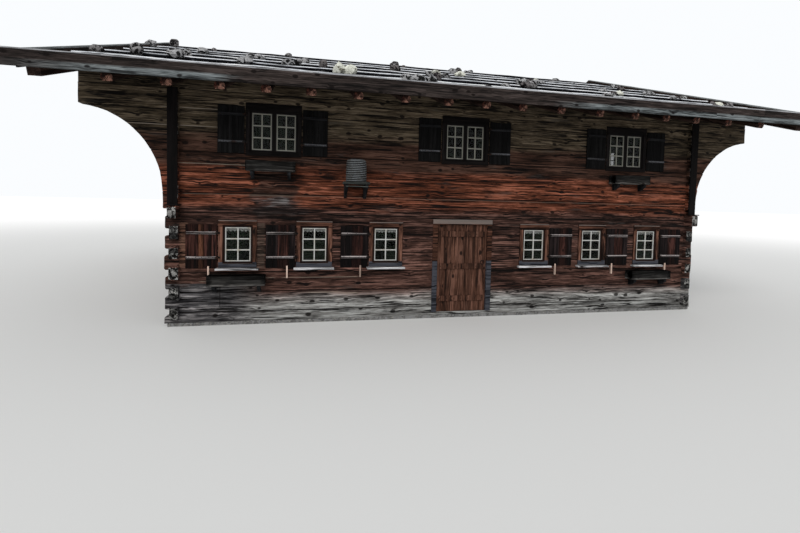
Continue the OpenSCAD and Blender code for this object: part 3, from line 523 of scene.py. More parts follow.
def log_material(name, along, first_joint):
    """Squared logs: zones of colour by height, a tone for each course, end grain on the cut ends."""
    colours = bpy.context.scene.farmhouse_colours
    material, place, facing = new_material(name)
    vector = grain_vector(place, along)
    s, across, level = vector.axes()
    row = (level - first_joint) / COURSE
    tone = random_of(row.run("FLOOR"))
    # Zones of colour with wavy borders; the foot is blackish up to a sharp line near the corner
    wavy = level + (clouds(stretched(vector, (0.5, 1.0, 5.0)), 5.0, 0.62) - 0.5) * 0.35
    far = smooth(s, -4.9, -4.1)
    picked = [mixed(far, near, away or colours.log_foot) for near, away in zip(NEAR_FOOT, FAR_FOOT)]
    zones = [shades([c * 1.8 for c in colours.log_ground], 0.16, 3.0),
             shades([c * 1.2 for c in colours.log_ground], 0.12, 3.8),
             shades(colours.log_warm, 0.16, 3.0), shades(colours.log_mid, 0.2, 2.3),
             shades(colours.log_top, 0.2, 2.3)]
    sharp = smooth(level, 0.81, 0.84)
    steps = [sharp + far * (smooth(wavy, 0.34, 0.7) - sharp)]
    steps += [smooth(wavy, low, high) for low, high in ZONE_BORDERS]
    for step, zone in zip(steps, zones):
        picked = [mixed(step, old, new) for old, new in zip(picked, zone)]
    base, height, rough = wood(shifted_by(vector, tone), picked, 0.36, 1.0, 0.7)
    blotch = clouds(stretched(vector, (0.7, 1.0, 2.2), (5, 2, 8)))
    base = dimmed(base, (tone * 0.68 + 0.66) * (blotch * 1.1 + 0.45))
    # Grey, washed wood here and there
    washed = smooth(clouds(stretched(vector, (0.9, 1, 6), (1, 9, 4)), 5.0, 0.65), 0.58, 0.7)
    base = mixed(washed * 0.45, base, mixed(height, (0.015,) * 3, (0.13, 0.12, 0.11)))
    if along == "x":
        axes = place.axes()
        fresh = smooth(height, 0.26, 0.5)
        loose = Value(put(place.tree, "TexNoise", {"Vector": stretched(place, (2.0, 2.0, 7.0)), "Scale": 1.0,
                                                   "Detail": 4.0}), "Color")
        loose = loose.vector("SUBTRACT", (0.5,) * 3).vector("MULTIPLY", (1.2, 0, 0.5))
        loose = loose.vector("ADD", place).axes()
        for low, high, soft, strength, dark, light in WORN_PLACES:
            part = patch(axes if soft < 0.05 else loose, low, high, soft) * strength
            base = mixed(part, base, mixed(fresh, dark, light))
        base = mixed(level_lines(place, PALE_EDGES), base, (0.3, 0.25, 0.2))
        # A butt joint in the foot
        butt = smooth(abs(axes[0] + 5.03), 0.009, 0.004) * patch(axes, (-5.2, 0.36), (-4.9, 0.84), 0.01)
        base = mixed(butt, base, (0.003,) * 3)
    # Painted shadow in the joints
    middle = row.run("FRACT") - 0.5
    base = mixed(smooth(abs(middle), 0.472, 0.488), base, (0.004, 0.003, 0.0025))
    # Cut ends, lit from above
    cut = smooth(abs(facing.axes()[GRAIN_ORDER[along][0]]), 0.72, 0.86)
    half = HALF_D if along == "x" else HALF_L
    up = middle * COURSE
    end, end_height = end_grain(joined(tone, abs(across) - (half - LOG_T / 2), up), (0.004, 0.0035, 0.003),
                                (0.52, 0.51, 0.49))
    bright = random_of((row + 0.5).run("FLOOR")) * 0.6 + 0.1 + smooth(up, 0.07, 0.15) * 0.55
    base = mixed(cut, base, dimmed(end, bright))
    height = height * (1.0 - cut) + end_height * cut
    return close_material(material, base, height, rough, 0.7, 0.008)


def rafter_material():
    """Hewn rafters down the slope, reddish at the cut ends of the round ones, with painted shadow of the
    fascia over the upper part of those ends.
    """
    colours = bpy.context.scene.farmhouse_colours
    material, place, facing = new_material("rafter_wood")
    base, height, rough = wood(grain_vector(place, "slope"), shades(colours.rafter, 0.3, 1.9), 0.3, 0.6)
    x, y, z = place.axes()
    cut = smooth(abs(y), HALF_D + 0.9, HALF_D + 0.95) * smooth(abs(facing.axes()[1]), 0.85, 0.92)
    cut = cut * smooth(abs(x), ROOF_HALF - 0.3, ROOF_HALF - 0.31)
    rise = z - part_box("front_rafters")[0].z
    middle = attribute(material, "middle")
    aside = x - middle
    end = end_grain(joined(middle * 0.01, aside, rise - 0.06), rgba(colours.rafter_end, 0.1),
                    rgba(colours.rafter_end, 1.2))[0]
    # Painted shadow of the fascia over the upper part of each cut end, along a slanted wavy line; then a
    # random darker tone for some rafters
    wave = clouds(stretched(place, (9, 9, 9)), 3.0)
    lean = rise - aside * 0.8 + (wave - 0.5) * 0.1
    shade = mixed(smooth(lean, 0.1, 0.045), (0.26, 0.17, 0.15), (1, 1, 1))
    shade = mixed(random_of(middle) * 0.45, shade, (0.1, 0.07, 0.06))
    base = mixed(cut, base, mixed(1.0, end, shade, "MULTIPLY"))
    return close_material(material, base, height, rough)


def casing_material():
    """Casings: brown below, nearly black under the eaves; the upright attribute turns the grain."""
    colours = bpy.context.scene.farmhouse_colours
    material, place, facing = new_material("casing_wood")
    upright = attribute(material, "upright")
    vector = Value(put(material.node_tree, "Mix", {0: upright, 4: grain_vector(place, "x"),
                                                   5: grain_vector(place, "z")}, data_type="VECTOR"), 1)
    level = place.axes()[2]
    storey = smooth(level, Z_STOREY, Z_STOREY + 0.05)
    picked = [mixed(storey, low, high) for low, high in
              zip(shades(colours.casing, 0.12, 3.0), shades(colours.dark_casing, 0.3, 2.0))]
    base, height, rough = wood(vector, picked, 0.2, 0.9, 0.9)
    base = base.vector("MULTIPLY", mixed(upright, (0.65, 0.6, 0.57), (1, 1, 1)))
    # The reveal round the casement is darker and redder
    deep = attribute(material, "reveal")
    base = mixed(deep * 0.94, base, mixed(storey, (0.01, 0.004, 0.003), (0.004, 0.003, 0.003)))
    # Grey foot board of the lower windows, pale upper edge of the head, and painted light on the faces that
    # look up
    heights = sorted(box[i].z for box in solids_of("front_casings") for i in (0, 1))
    head = [h for h in heights if h < Z_STOREY][-1]
    shown = 1.0 - deep
    foot = smooth(level, heights[0] + 0.112, heights[0] + 0.108) * shown
    base = mixed(foot, base, mixed(height, (0.012, 0.013, 0.017), (0.12, 0.125, 0.15)))
    line = smooth(level, head - 0.02, head - 0.012) * (1.0 - storey)
    top = line.run("MAXIMUM", smooth(facing.axes()[2], 0.5, 0.8)) * shown * 0.7
    base = mixed(top, base, mixed(storey, (0.2, 0.17, 0.155), (0.02, 0.02, 0.022)))
    return close_material(material, base, height, rough)


def fascia_material():
    """Two boards: the upper one brown, the lower one with a grey-green strip that gives way to brown; the
    strip darkens towards the upper board as painted shade under it.
    """
    colours = bpy.context.scene.farmhouse_colours
    low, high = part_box("front_fascia")
    border = low.z + 0.128
    material, place, _ = new_material("fascia_wood")
    x, _, z = place.axes()
    lower = smooth(z, border + 0.002, border - 0.002)
    # The strip fades over its top 45 mm into the upper board's brown: painted shade under the upper board
    strip = smooth(z, border, border - 0.045)
    along = x + (clouds(stretched(place, (0.8, 0.3, 2.0), (3, 0, 0))) - 0.5) * 1.4
    brown = smooth(along, -5.0, -4.5) * smooth(along, 2.2, 1.0)
    pale = strip * (1.0 - brown) * smooth(x, -8.2, -6.3)
    picked = [mixed(pale, dark, light) for dark, light in
              zip(shades(colours.fascia, 0.2, 2.2), shades(colours.fascia_low, 0.22, 1.9))]
    tone = random_of((x / 6.4 + lower * 0.2).run("FLOOR"))
    base, height, rough = wood(shifted_by(place, tone), picked, 0.5, 0.9, 0.8)
    rim = smooth(z, high.z - 0.026, high.z - 0.02)
    base = mixed(rim * 0.9, base, mixed(height, (0.2, 0.2, 0.21), (0.72, 0.73, 0.76)))
    return close_material(material, base, height, rough)


def verge_material():
    """Verge boards with a pale upper rim."""
    colours = bpy.context.scene.farmhouse_colours
    material, place, _ = new_material("verge_wood")
    base, height, rough = wood(grain_vector(place, "slope"), shades(colours.rafter, 0.25, 1.6), 0.3, 0.8, 0.9)
    _, y, z = place.axes()
    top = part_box("verge_boards")[1].z
    rim = smooth(z + abs(y) * math.tan(PITCH), top - 0.04, top - 0.03)
    base = mixed(rim * 0.9, base, mixed(height, (0.2, 0.21, 0.21), (0.62, 0.66, 0.66)))
    return close_material(material, base, height, rough)


def pole_material():
    """Barked poles of bleached wood, paler on top as a painted highlight and with painted shade on their
    lower half; a tone below 0 gives a whole pole that dark colour.
    """
    colours = bpy.context.scene.farmhouse_colours
    material, place, facing = new_material("pole_wood")
    tone = attribute(material, "tone")
    base, height, rough = wood(shifted_by(place, tone), shades(colours.pole, 0.3, 1.4), 0.2, 0.5, 0.6)
    # Painted highlight on the faces that look up and painted shade on the lower half of each pole
    wave = clouds(stretched(place, (2.5, 9, 9)), 3.0)
    above = smooth(facing.axes()[2] + (wave - 0.5) * 0.6, 0.06, 0.3) * tone.run("GREATER_THAN", 0.0)
    base = mixed(above, mixed(height, (0.006, 0.006, 0.008), (0.035, 0.036, 0.043)), base)
    return close_material(material, base, height, rough, specular=0.02)


def stone_material(name, shade, mortar=False):
    """Grey stone with dark hollows, some stones dark and a few pale; the footing also shows its mortar."""
    material, place, _ = new_material(name)
    tone = attribute(material, "tone")
    spots = clouds(place, 6.0, 0.7, 0.0, 16.0)
    veins = clouds(shifted_by(place, tone), 5.0, 0.68, 1.2, 8.0)
    hollow = smooth(veins, 0.46, 0.54)
    base = mixed(hollow, rgba(shade, 0.45 if mortar else 0.04), rgba(shade, 1.0 if mortar else 1.6))
    if not mortar:
        dark = mixed(hollow, (0.008, 0.006, 0.007), (0.17, 0.155, 0.155))
        pale = mixed(smooth(veins, 0.36, 0.5), (0.16, 0.15, 0.1), (0.8, 0.81, 0.72))
        base = mixed(smooth(tone, 0.2, 0.5), dark, base)
        base = mixed(smooth(tone, 0.9, 0.94), base, pale)
    base = mixed(smooth(spots, 0.62, 0.7), base, (0.45, 0.45, 0.43))
    height = spots + veins
    if mortar:
        cells = put(place.tree, "TexVoronoi", {"Vector": stretched(place, (3.2, 3.2, 9.0))},
                    feature="DISTANCE_TO_EDGE")
        joint = smooth(Value(cells, "Distance"), 0.09, 0.04)
        base = mixed(joint, base, (0.36, 0.35, 0.32))
        height = height - joint
    return close_material(material, base, height, 0.9, 1.0, 0.02)


def straw_material(axis_place):
    """Straw coils with binding that runs round the basket; the tone attribute, high on the outer side of each
    coil, gives painted shade between coils.
    """
    colours = bpy.context.scene.farmhouse_colours
    material, place, _ = new_material("old_straw")
    place = stretched(place, (1, 1, 1), -axis_place)
    x, y, z = place.axes()
    turn = y.run("ARCTAN2", x)
    binding = smooth((turn * 46.0 + z * 90.0).run("SINE"), 0.45, 0.85)
    strand = clouds(joined(turn * 1.2, z * 240.0, x * 14.0), 4.0, 0.7, 0.0, 3.0)
    blotch = clouds(place, 4.0, 0.6, 0.0, 9.0)
    base = mixed(smooth(strand, 0.35, 0.65), rgba(colours.straw, 0.4), rgba(colours.straw, 2.2))
    base = mixed(smooth(blotch, 0.45, 0.6) * 0.4, base, (0.06, 0.052, 0.042))
    base = mixed(binding * 0.55, base, (0.19, 0.18, 0.155))
    # Painted shade between the coils
    base = mixed(smooth(attribute(material, "tone"), 1.0, 0.75), base, (0.003, 0.0028, 0.003))
    return close_material(material, base, strand + binding * 0.8, 0.85, 0.7, 0.004)


def paint_material():
    """Old white paint, yellowed and rubbed at places; the rim attribute marks where it is gone and where
    shade is painted.
    """
    material, place, _ = new_material("old_paint")
    dirt = clouds(stretched(place, (9, 9, 5)), 5.0, 0.7)
    fine = clouds(place, 3.0, 0.6, 0.0, 160.0)
    base = mixed(smooth(dirt, 0.42, 0.72), bpy.context.scene.farmhouse_colours.paint, (0.36, 0.32, 0.25))
    base = mixed(smooth(dirt + fine * 0.3, 0.86, 0.9), base, (0.15, 0.11, 0.08))
    storey = smooth(place.axes()[2], Z_STOREY, Z_STOREY + 0.05)
    base = mixed(storey * 0.85, base, (0.18, 0.175, 0.14))
    # Near-black where the rim attribute is set: worn paint and painted shade at the outer strip, painted
    # shade on slanted edges
    base = mixed(attribute(material, "rim") * 0.95, base, (0.012, 0.009, 0.008))
    return close_material(material, base, fine, 0.5, 0.15, 0.001, specular=0.4)


def glass_material():
    """Old window glass, faintly green; near-black and partly opaque, a painted shade of the dark rooms behind
    it.
    """
    material, place, _ = new_material("old_glass")
    waves = clouds(stretched(place, (2, 2, 2)), 1.0, 0.5)
    base = mixed(smooth(waves, 0.4, 0.6), (0.002, 0.003, 0.002), (0.01, 0.016, 0.01))
    return close_material(material, base, None, 0.06, specular=0.22, more={"Alpha": 0.32})


def iron_material():
    """Forged iron with a little rust."""
    material, place, _ = new_material("forged_iron")
    rust = clouds(place, 5.0, 0.65, 0.0, 34.0)
    base = mixed(smooth(rust, 0.5, 0.68), bpy.context.scene.farmhouse_colours.iron, (0.07, 0.03, 0.015))
    return close_material(material, base, rust, rust * 0.4 + 0.45, 0.5, 0.002, more={"Metallic": 0.7})


def lace_material():
    """White lace: a net of threads with denser flowers in it."""
    material, place, _ = new_material("white_lace")
    x, _, z = place.axes()
    cross = (x * 560.0).run("SINE") * (z * 560.0).run("SINE")
    motif = clouds(place, 2.0, 0.5, 0.0, 40.0)
    solid = smooth(cross, 0.8, 0.5).run("MAXIMUM", smooth(motif, 0.45, 0.5))
    base = mixed(motif, (0.75, 0.77, 0.72), (0.95, 0.95, 0.93))
    return close_material(material, base, solid, 0.9, 0.4, 0.001, 0.1, {"Alpha": solid})


def earth_material():
    """Dark crumbly earth of the flower boxes."""
    material, place, _ = new_material("box_earth")
    crumbs = clouds(place, 6.0, 0.75, 0.0, 40.0)
    base = mixed(crumbs, (0.012, 0.008, 0.006), (0.06, 0.042, 0.03))
    return close_material(material, base, crumbs, 0.95, 1.0, 0.01)


def floor_material():
    """Pale ground that keeps the shadow of the house and turns white far off."""
    material, place, _ = new_material("pale_floor")
    glow = smooth(place.length(), 16.0, 48.0) * Value(put(place.tree, "LightPath"), "Is Camera Ray")
    base = mixed(glow, (0.8, 0.8, 0.79), (0, 0, 0))
    return close_material(material, base, None, 0.95, 0.5, 0.005, 0.05,
                          {"Emission Color": (1, 1, 1), "Emission Strength": glow})


def plain_woods():
    """Values of the plain woods: name, colour, grain, knots, cracks, fade, then named values."""
    colours = bpy.context.scene.farmhouse_colours
    foot, top = LOW_SHUTTER_FOOT, HIGH_SHUTTER_TOP
    low_box, high_box = LOW_BOX_FOOT, HIGH_BOX_TOP
    return {
        "post": ("post_boards", colours.post, "z", 0.2, 0.5, 0.9, {}),
        "timber": ("hewn_timber", colours.rafter, "x", 0.3, 0.7, 1.2, {}),
        "corbel": ("corbel_timber", colours.rafter, "x", 0.3, 0.8, 1.2, {"board": 0.2, "vary": 0.3}),
        "roof_board": ("roof_boards", colours.rafter, "slope", 0.3, 0.4, 1.0,
                       {"board": 0.19, "board_axis": 1, "vary": 0.35}),
        "shingle": ("shingle_wood", colours.shingle, "slope", 0.0, 0.8, 0.8,
                    {"vary": 0.6, "light": 3.6, "dark": 0.2, "specular": 0.0}),
        "ridge": ("ridge_wood", (0.007, 0.007, 0.008), "slope", 0.0, 0.8, 0.8,
                  {"vary": 0.5, "light": 2.6, "specular": 0.0}),
        "silver": ("silver_plank", colours.silver, "x", 0.25, 0.9, 0.9, {"light": 1.5}),
        "floor": ("floor_planks", (0.25, 0.17, 0.1), "x", 0.3, 0.4, 1.0,
                  {"board": 0.2, "board_axis": 1, "vary": 0.3}),
        "shutter": ("shutter_boards", (0.009, 0.0055, 0.0055), "z", 0.3, 0.9, 1.2,
                    {"light": 2.6, "hues": (colours.shutter, (0.056, 0.021, 0.011), (0.034, 0.023, 0.022)),
                     "bands": ((0.0, foot + 0.19, 0.25), (foot + 0.735, Z_STOREY, 0.5))}),
        "dark_shutter": ("dark_shutter_boards", colours.dark_shutter, "z", 0.2, 0.6, 1.0, {"vary": 0.4}),
        # The battens are pale, with painted shadow on their lower part from the bands
        "batten": ("batten_wood", (0.34, 0.3, 0.295), "x", 0.25, 0.7, 1.0,
                   {"light": 1.8, "bands": ((foot + 0.69, foot + 0.713, 0.12),
                                            (foot + 0.6, foot + 0.69, 0.45),
                                            (foot + 0.15, foot + 0.226, 0.18))}),
        "dark_batten": ("dark_batten_wood", (0.012, 0.0122, 0.0135), "x", 0.2, 0.5, 1.0,
                        {"bands": ((top - 0.712, top - 0.6, 6.0),)}),
        "shelf": ("shelf_plank", (0.055, 0.06, 0.055), "x", 0.25, 0.9, 1.0, {"light": 2.6}),
        "peg": ("peg_wood", colours.peg, "z", 0.1, 0.3, 0.6, {"light": 1.4}),
        # The boxes have a paler strip at the bottom and are darker above it, a painted shade of the flowers
        # they hold
        "box": ("box_boards", colours.box, "x", 0.3, 0.8, 1.0,
                {"light": 2.6, "bands": ((low_box - 0.1, low_box + 0.035, 2.6),
                                         (low_box + 0.035, Z_STOREY, 0.5),
                                         (high_box - 0.3, high_box - 0.165, 2.6),
                                         (high_box - 0.165, 9.0, 0.5))}),
        "bracket": ("bracket_wood", (0.012, 0.0125, 0.014), "z", 0.2, 0.6, 1.0, {}),
        "door": ("door_boards", colours.casing, "z", 0.3, 0.5, 1.2, {"vary": 0.4}),
    }


MAKERS = {
    "eave_logs": lambda: log_material("eave_logs", "x", Z_LOGS + COURSE / 2),
    "gable_logs": lambda: log_material("gable_logs", "y", Z_LOGS),
    "stone": lambda: stone_material("weight_stone", bpy.context.scene.farmhouse_colours.stone),
    "footing": lambda: stone_material("footing_stone", bpy.context.scene.farmhouse_colours.stone, True),
    "rafter": rafter_material, "fascia": fascia_material, "verge": verge_material, "pole": pole_material,
    "casing": casing_material, "paint": paint_material, "glass": glass_material, "lace": lace_material,
    "iron": iron_material, "earth": earth_material,
}
MADE = {}


def material_of(name):
    """Each material is made once, when it is first asked for."""
    if name not in MADE:
        if name in MAKERS:
            MADE[name] = MAKERS[name]()
        else:
            *values, more = plain_woods()[name]
            MADE[name] = wood_material(*values, **more)
    return MADE[name]


# Meshes

def solids_of(node):
    """Boxes of the separate solids in a CAD node, as (lowest corner, highest corner)."""
    bm = merged_copy(node, dissolve=False)
    boxes, seen = [], set()
    for start in bm.verts:
        if start.index in seen:
            continue
        seen.add(start.index)
        island, waiting = [], [start]
        while waiting:
            vert = waiting.pop()
            island.append(vert.co.copy())
            for edge in vert.link_edges:
                other = edge.other_vert(vert)
                if other.index not in seen:
                    seen.add(other.index)
                    waiting.append(other)
        boxes.append((Vector(map(min, zip(*island))), Vector(map(max, zip(*island)))))
    bm.free()
    return boxes


def merged_copy(node, dissolve=True):
    """A bmesh copy of a CAD node with shared points and, where asked, without edges inside flat faces."""
    bm = bmesh.new()
    bm.from_mesh(frame["nodes"][node].data)
    bmesh.ops.remove_doubles(bm, verts=bm.verts[:], dist=TINY)
    if dissolve:
        bmesh.ops.dissolve_limit(bm, angle_limit=math.radians(0.6), verts=bm.verts[:], edges=bm.edges[:])
    bm.verts.index_update()
    return bm


def cut_at(bm, axis, places):
    """Cuts every face where it crosses the planes at these places on an axis."""
    normal = Vector([float(i == axis) for i in range(3)])
    for place in places:
        bmesh.ops.bisect_plane(bm, geom=bm.verts[:] + bm.edges[:] + bm.faces[:], dist=TINY / 10,
                               plane_co=normal * place, plane_no=normal)


def stations(low, high, step):
    """Evenly spaced places between two ends, without the ends."""
    count = max(1, round((high - low) / step))
    return [low + (high - low) * i / count for i in range(1, count)]


def soften(bm, angle=35.0):
    """Smooth faces with sharp edges past an angle."""
    for face in bm.faces:
        face.smooth = True
    for edge in bm.edges:
        if len(edge.link_faces) == 2:
            edge.smooth = edge.calc_face_angle(0.0) < math.radians(angle)
        else:
            edge.smooth = False


def bevelled(bm, width, segments=1, angle=50.0):
    """Bevels the edges that are sharper than an angle."""
    sharp = [e for e in bm.edges if len(e.link_faces) == 2 and e.calc_face_angle(0.0) > math.radians(angle)]
    bmesh.ops.bevel(bm, geom=sharp, offset=width, segments=segments, profile=0.5, affect="EDGES",
                    material=-1, clamp_overlap=True)


def cube(bm, place, tone):
    """A cube of size 1 moved by a matrix."""
    give_tone(bm, bmesh.ops.create_cube(bm, size=1.0, matrix=place)["verts"], tone)


def block(bm, low, high, tone=None, turn=None):
    """A box between two corners, turned about its middle where asked."""
    low, high = Vector(low), Vector(high)
    size = high - low
    place = Matrix.Translation((low + high) / 2) @ (turn or UNIT)
    cube(bm, place @ Matrix.Diagonal((*size, 1.0)), tone)


def toned():
    """An empty bmesh whose points hold a random tone for each board or stone."""
    bm = bmesh.new()
    bm.verts.layers.float.new("tone")
    return bm


def give_tone(bm, verts, tone):
    """Writes the random tone of one board or stone into its points."""
    if tone is not None:
        layer = bm.verts.layers.float["tone"]
        for vert in verts:
            vert[layer] = tone


def finish_piece(name, bm, look, slot, *replaced):
    """Turns a bmesh into a piece that rides on the house."""
    mesh = bpy.data.meshes.new(name)
    bm.to_mesh(mesh)
    bm.free()
    mesh.materials.append(material_of(look))
    piece = bpy.data.objects.new(name, mesh)
    bpy.context.scene.collection.objects.link(piece)
    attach(piece, "root")
    if replaced:
        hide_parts(*replaced)
    return piece


def slot_of(node):
    """The record's material slot of a CAD node."""
    for part in frame["record"]["subparts"]:
        if part["node"] == node:
            return part["material_slot"]
    raise RuntimeError(f"the record has no node {node}")


def openings_beside(node):
    """Openings of a wall as (low, high) pairs of place along the wall and height."""
    side = node.split("_")[0]
    source = side + "_casings" if side in SIDES else "gable_casings"
    along = 0 if side in SIDES else 1
    found = []
    for low, high in solids_of(source):
        if side == "left" and low.x > 0 or side == "right" and low.x < 0:
            continue
        found.append((low[along], high[along], low.z, high.z))
    if node == "front_wall_ground":
        low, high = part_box("door_frame")
        found.append((low.x, high.x, low.z, high.z))
    return found


def clear_of(openings, s, z, reach=0.12):
    """0 at the edge of an opening and 1 from reach away."""
    nearest = reach
    for low_s, high_s, low_z, high_z in openings:
        nearest = min(nearest, math.hypot(max(low_s - s, 0, s - high_s), max(low_z - z, 0, z - high_z)))
    return nearest / reach


# Cuts in a course and their spacing along a log, reach of the groove between two courses, share of the sway
# that is left at the corners, and how far a joint drifts
COURSE_CUTS = (0.16, 0.5, 0.84)
LOG_STEP = 0.17
GROOVE = 0.02
CORNER_SWAY = 0.35
JOINT_DRIFT = 0.03


def hew_wall(node):
    """Log wall with hewn faces: the logs sway, and some stand proud of others."""
    sizes = bpy.context.scene.farmhouse_sizes
    side = node.split("_")[0]
    eave = side in SIDES
    along = 0 if eave else 1
    first = Z_LOGS + (COURSE / 2 if eave else 0)
    openings = openings_beside(node)
    bm = merged_copy(node)
    low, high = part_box(node)
    cut_at(bm, 2, [z for k in range(-1, 20) for part in COURSE_CUTS
                   if low.z < (z := first + (k + part) * COURSE) < high.z])
    cut_at(bm, along, stations(low[along], high[along], LOG_STEP))
    bm.normal_update()
    seed = sum(map(ord, node)) % 97
    shift = random.Random(seed)
    proud = [shift.uniform(-0.5, 0.5) * sizes.course_depth for _ in range(24)]
    for vert in bm.verts:
        place = vert.co.copy()
        s, z = place[along], place.z
        row = (z - first) / COURSE
        near_joint = abs(row - round(row)) * COURSE
        keep = clear_of(openings, s, z)
        if abs(abs(s) - (HALF_L if eave else HALF_D) + LOG_T / 2) < LOG_T / 2 + TINY:
            keep *= CORNER_SWAY
        sway = noise.noise(Vector((s * 1.1, math.floor(row) * 5.3, seed))) * sizes.hewn_depth
        rough = noise.noise(Vector((s * 4.1, z * 7.7, seed + 9.0))) * sizes.hewn_depth * 0.55
        amount = sway + rough
        if near_joint > GROOVE:
            amount += proud[int(math.floor(row)) + 2]
        vert.co += vert.normal * amount * keep
        if low.z + GROOVE < z < high.z - GROOVE:
            drift = noise.noise(Vector((s * 0.45, round(row) * 3.1, seed + 30.0)))
            vert.co.z += drift * JOINT_DRIFT * keep * max(0.0, 1 - near_joint / (COURSE / 2))
    soften(bm, 24.0)
    return finish_piece("hewn_" + node, bm, "eave_logs" if eave else "gable_logs", slot_of(node), node)


def worn_copy(name, node, label, width=0.004, segments=2, sway=0.0, step=0.0, along=0, seed=1):
    """A copy of a CAD node with worn edges, and with faces that sway inwards where asked."""
    bm = merged_copy(node)
    if step:
        low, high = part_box(node)
        cut_at(bm, along, stations(low[along], high[along], step))
    bevelled(bm, width, segments)
    if sway:
        bm.normal_update()
        for vert in bm.verts:
            place = Vector((vert.co.x * 1.3, vert.co.y * 1.3, vert.co.z * 9.0 + seed))
            vert.co += vert.normal * (noise.noise(place) - 1) * sway / 2
    soften(bm)
    return finish_piece(name, bm, label, slot_of(node), node)


# Roof

def finish_rafters(side):
    """Rafters with worn edges; an attribute keeps the middle of each one for its end grain."""
    node = side + "_rafters"
    middles = [(low.x + high.x) / 2 for low, high in solids_of(node)]
    bm = merged_copy(node)
    layer = bm.verts.layers.float.new("middle")
    for vert in bm.verts:
        vert[layer] = min(middles, key=lambda middle: abs(middle - vert.co.x))
    bevelled(bm, 0.005, 1, 60.0)
    soften(bm)
    return finish_piece(side + "_worn_rafters", bm, "rafter", "rafter", node)


def slope_matrix(side):
    """Frame of a roof slope: x along the eave, y up the slope, z off the boards; its origin is the eave."""
    low = Vector((0, DECK_LOW.y, DECK_LOW.z + DECK_T))
    made = Matrix.Translation(low) @ Matrix.Rotation(PITCH, 4, "X")
    return made if side == "front" else HALF_TURN @ made


# Distance of a shingle row from the ends of the roof, and the least room that another shingle needs
SHINGLE_INSET = 0.004
LAST_SHINGLE = 0.05


def lay_shingles(side):
    """Split shingles of uneven width, butts and tone, one row on each step of the roof."""
    sizes = bpy.context.scene.farmhouse_sizes
    pick = random.Random(11 if side == "front" else 12)
    slope = slope_matrix(side)
    lean = -math.atan2(LAYER_T, ROW_RUN)
    bm = toned()
    for row in range(SHINGLE_ROWS):
        x = -ROOF_HALF + SHINGLE_INSET
        while x < ROOF_HALF - LAST_SHINGLE:
            width = sizes.shingle_width * pick.uniform(0.62, 1.45)
            width = min(width, ROOF_HALF - SHINGLE_INSET - x)
            butt = pick.uniform(-0.04, 0.015) if row else pick.uniform(-0.004, 0.008)
            thick = sizes.shingle_thickness * pick.uniform(0.6, 1.3)
            long = ROW_RUN + 0.01 - butt
            lift = pick.uniform(-0.004, 0.003)
            place = (slope @ Matrix.Translation((x + width / 2, row * ROW_RUN + butt, 2 * LAYER_T + lift))
                     @ Matrix.Rotation(lean + pick.uniform(-0.008, 0.012), 4, "X")
                     @ Matrix.Rotation(pick.uniform(-0.012, 0.012), 4, "Z")
                     @ Matrix.Rotation(pick.uniform(-0.02, 0.02), 4, "Y")
                     @ Matrix.Translation((0, long / 2, thick / 2))
                     @ Matrix.Diagonal((width - pick.uniform(0.003, 0.012), long, thick, 1.0)))
            cube(bm, place, pick.random())
            x += width
    return finish_piece(side + "_split_shingles", bm, "shingle", "shingle")


def lay_ridge():
    """Ragged shingles across the ridge, the front ones higher than the back ones."""
    pick = random.Random(21)
    bm = toned()
    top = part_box("ridge_boards")[1].z
    for side, rise in (("front", 0.045), ("back", 0.01)):
        turn = UNIT if side == "front" else HALF_TURN
        x = -ROOF_HALF + 0.01
        while x < ROOF_HALF - LAST_SHINGLE:
            width = min(pick.uniform(0.09, 0.2), ROOF_HALF - 0.01 - x)
            long = pick.uniform(0.36, 0.44)
            past = rise + pick.uniform(-0.03, 0.03)
            place = (turn @ Matrix.Translation((x + width / 2, 0, top - 0.036))
                     @ Matrix.Rotation(PITCH, 4, "X")
                     @ Matrix.Rotation(pick.uniform(-0.03, 0.03), 4, "Z")
                     @ Matrix.Translation((0, past - long / 2, 0.01))
                     @ Matrix.Diagonal((width - 0.006, long, pick.uniform(0.014, 0.024), 1.0)))
            cube(bm, place, pick.random() * 0.6)
            x += width
    return finish_piece("ridge_split_shingles", bm, "ridge", "shingle")


def grow_pole(bm, start, end, radius, pick, step=0.28):
    """A barked pole: rings from one end to the other that sway and swell a little."""
    way = end - start
    count = max(4, round(way.length / step))
    turn = way.to_track_quat("Z", "Y").to_matrix().to_4x4()
    ring = bmesh.ops.create_circle(bm, cap_ends=True, radius=radius, segments=10,
                                   matrix=Matrix.Translation(start) @ turn)["verts"]
    face = next(f for f in ring[0].link_faces if len(f.verts) == len(ring))
    body = list(ring)
    seed = pick.uniform(0, 60)
    middle = start.copy()
    for i in range(1, count + 1):
        made = bmesh.ops.extrude_discrete_faces(bm, faces=[face])["faces"]
        face = made[0]
        verts = face.verts[:]
        sway = [noise.noise(Vector((i * 0.21, seed, offset))) for offset in (0, 9)]
        target = start + way * (i / count) + Vector((0, *sway)) * radius * 0.55
        swell = 1 + noise.noise(Vector((i * 0.5, seed, 20))) * 0.18
        bmesh.ops.translate(bm, vec=target - middle, verts=verts)
        for vert in verts:
            vert.co = target + (vert.co - target).normalized() * radius * swell
        middle = target
        body += verts
    return body


def lay_poles(side):
    """Weight poles in place of the plain ones."""
    pick = random.Random(31 if side == "front" else 32)
    node = side + "_weight_poles"
    bm = toned()
    highest = max(high.z for low, high in solids_of(node))
    for low, high in solids_of(node):
        mid = (low + high) / 2
        radius = (high.z - low.z) / 2
        ends = [Vector((x, mid.y, mid.z)) for x in (low.x, high.x)]
        verts = grow_pole(bm, *ends, radius * 0.93, pick)
        give_tone(bm, verts, -1.0 if high.z > highest - TINY else pick.uniform(0.05, 1.0))
    bmesh.ops.recalc_face_normals(bm, faces=bm.faces[:])
    soften(bm, 60.0)
    return finish_piece(side + "_barked_poles", bm, "pole", "pole", node)


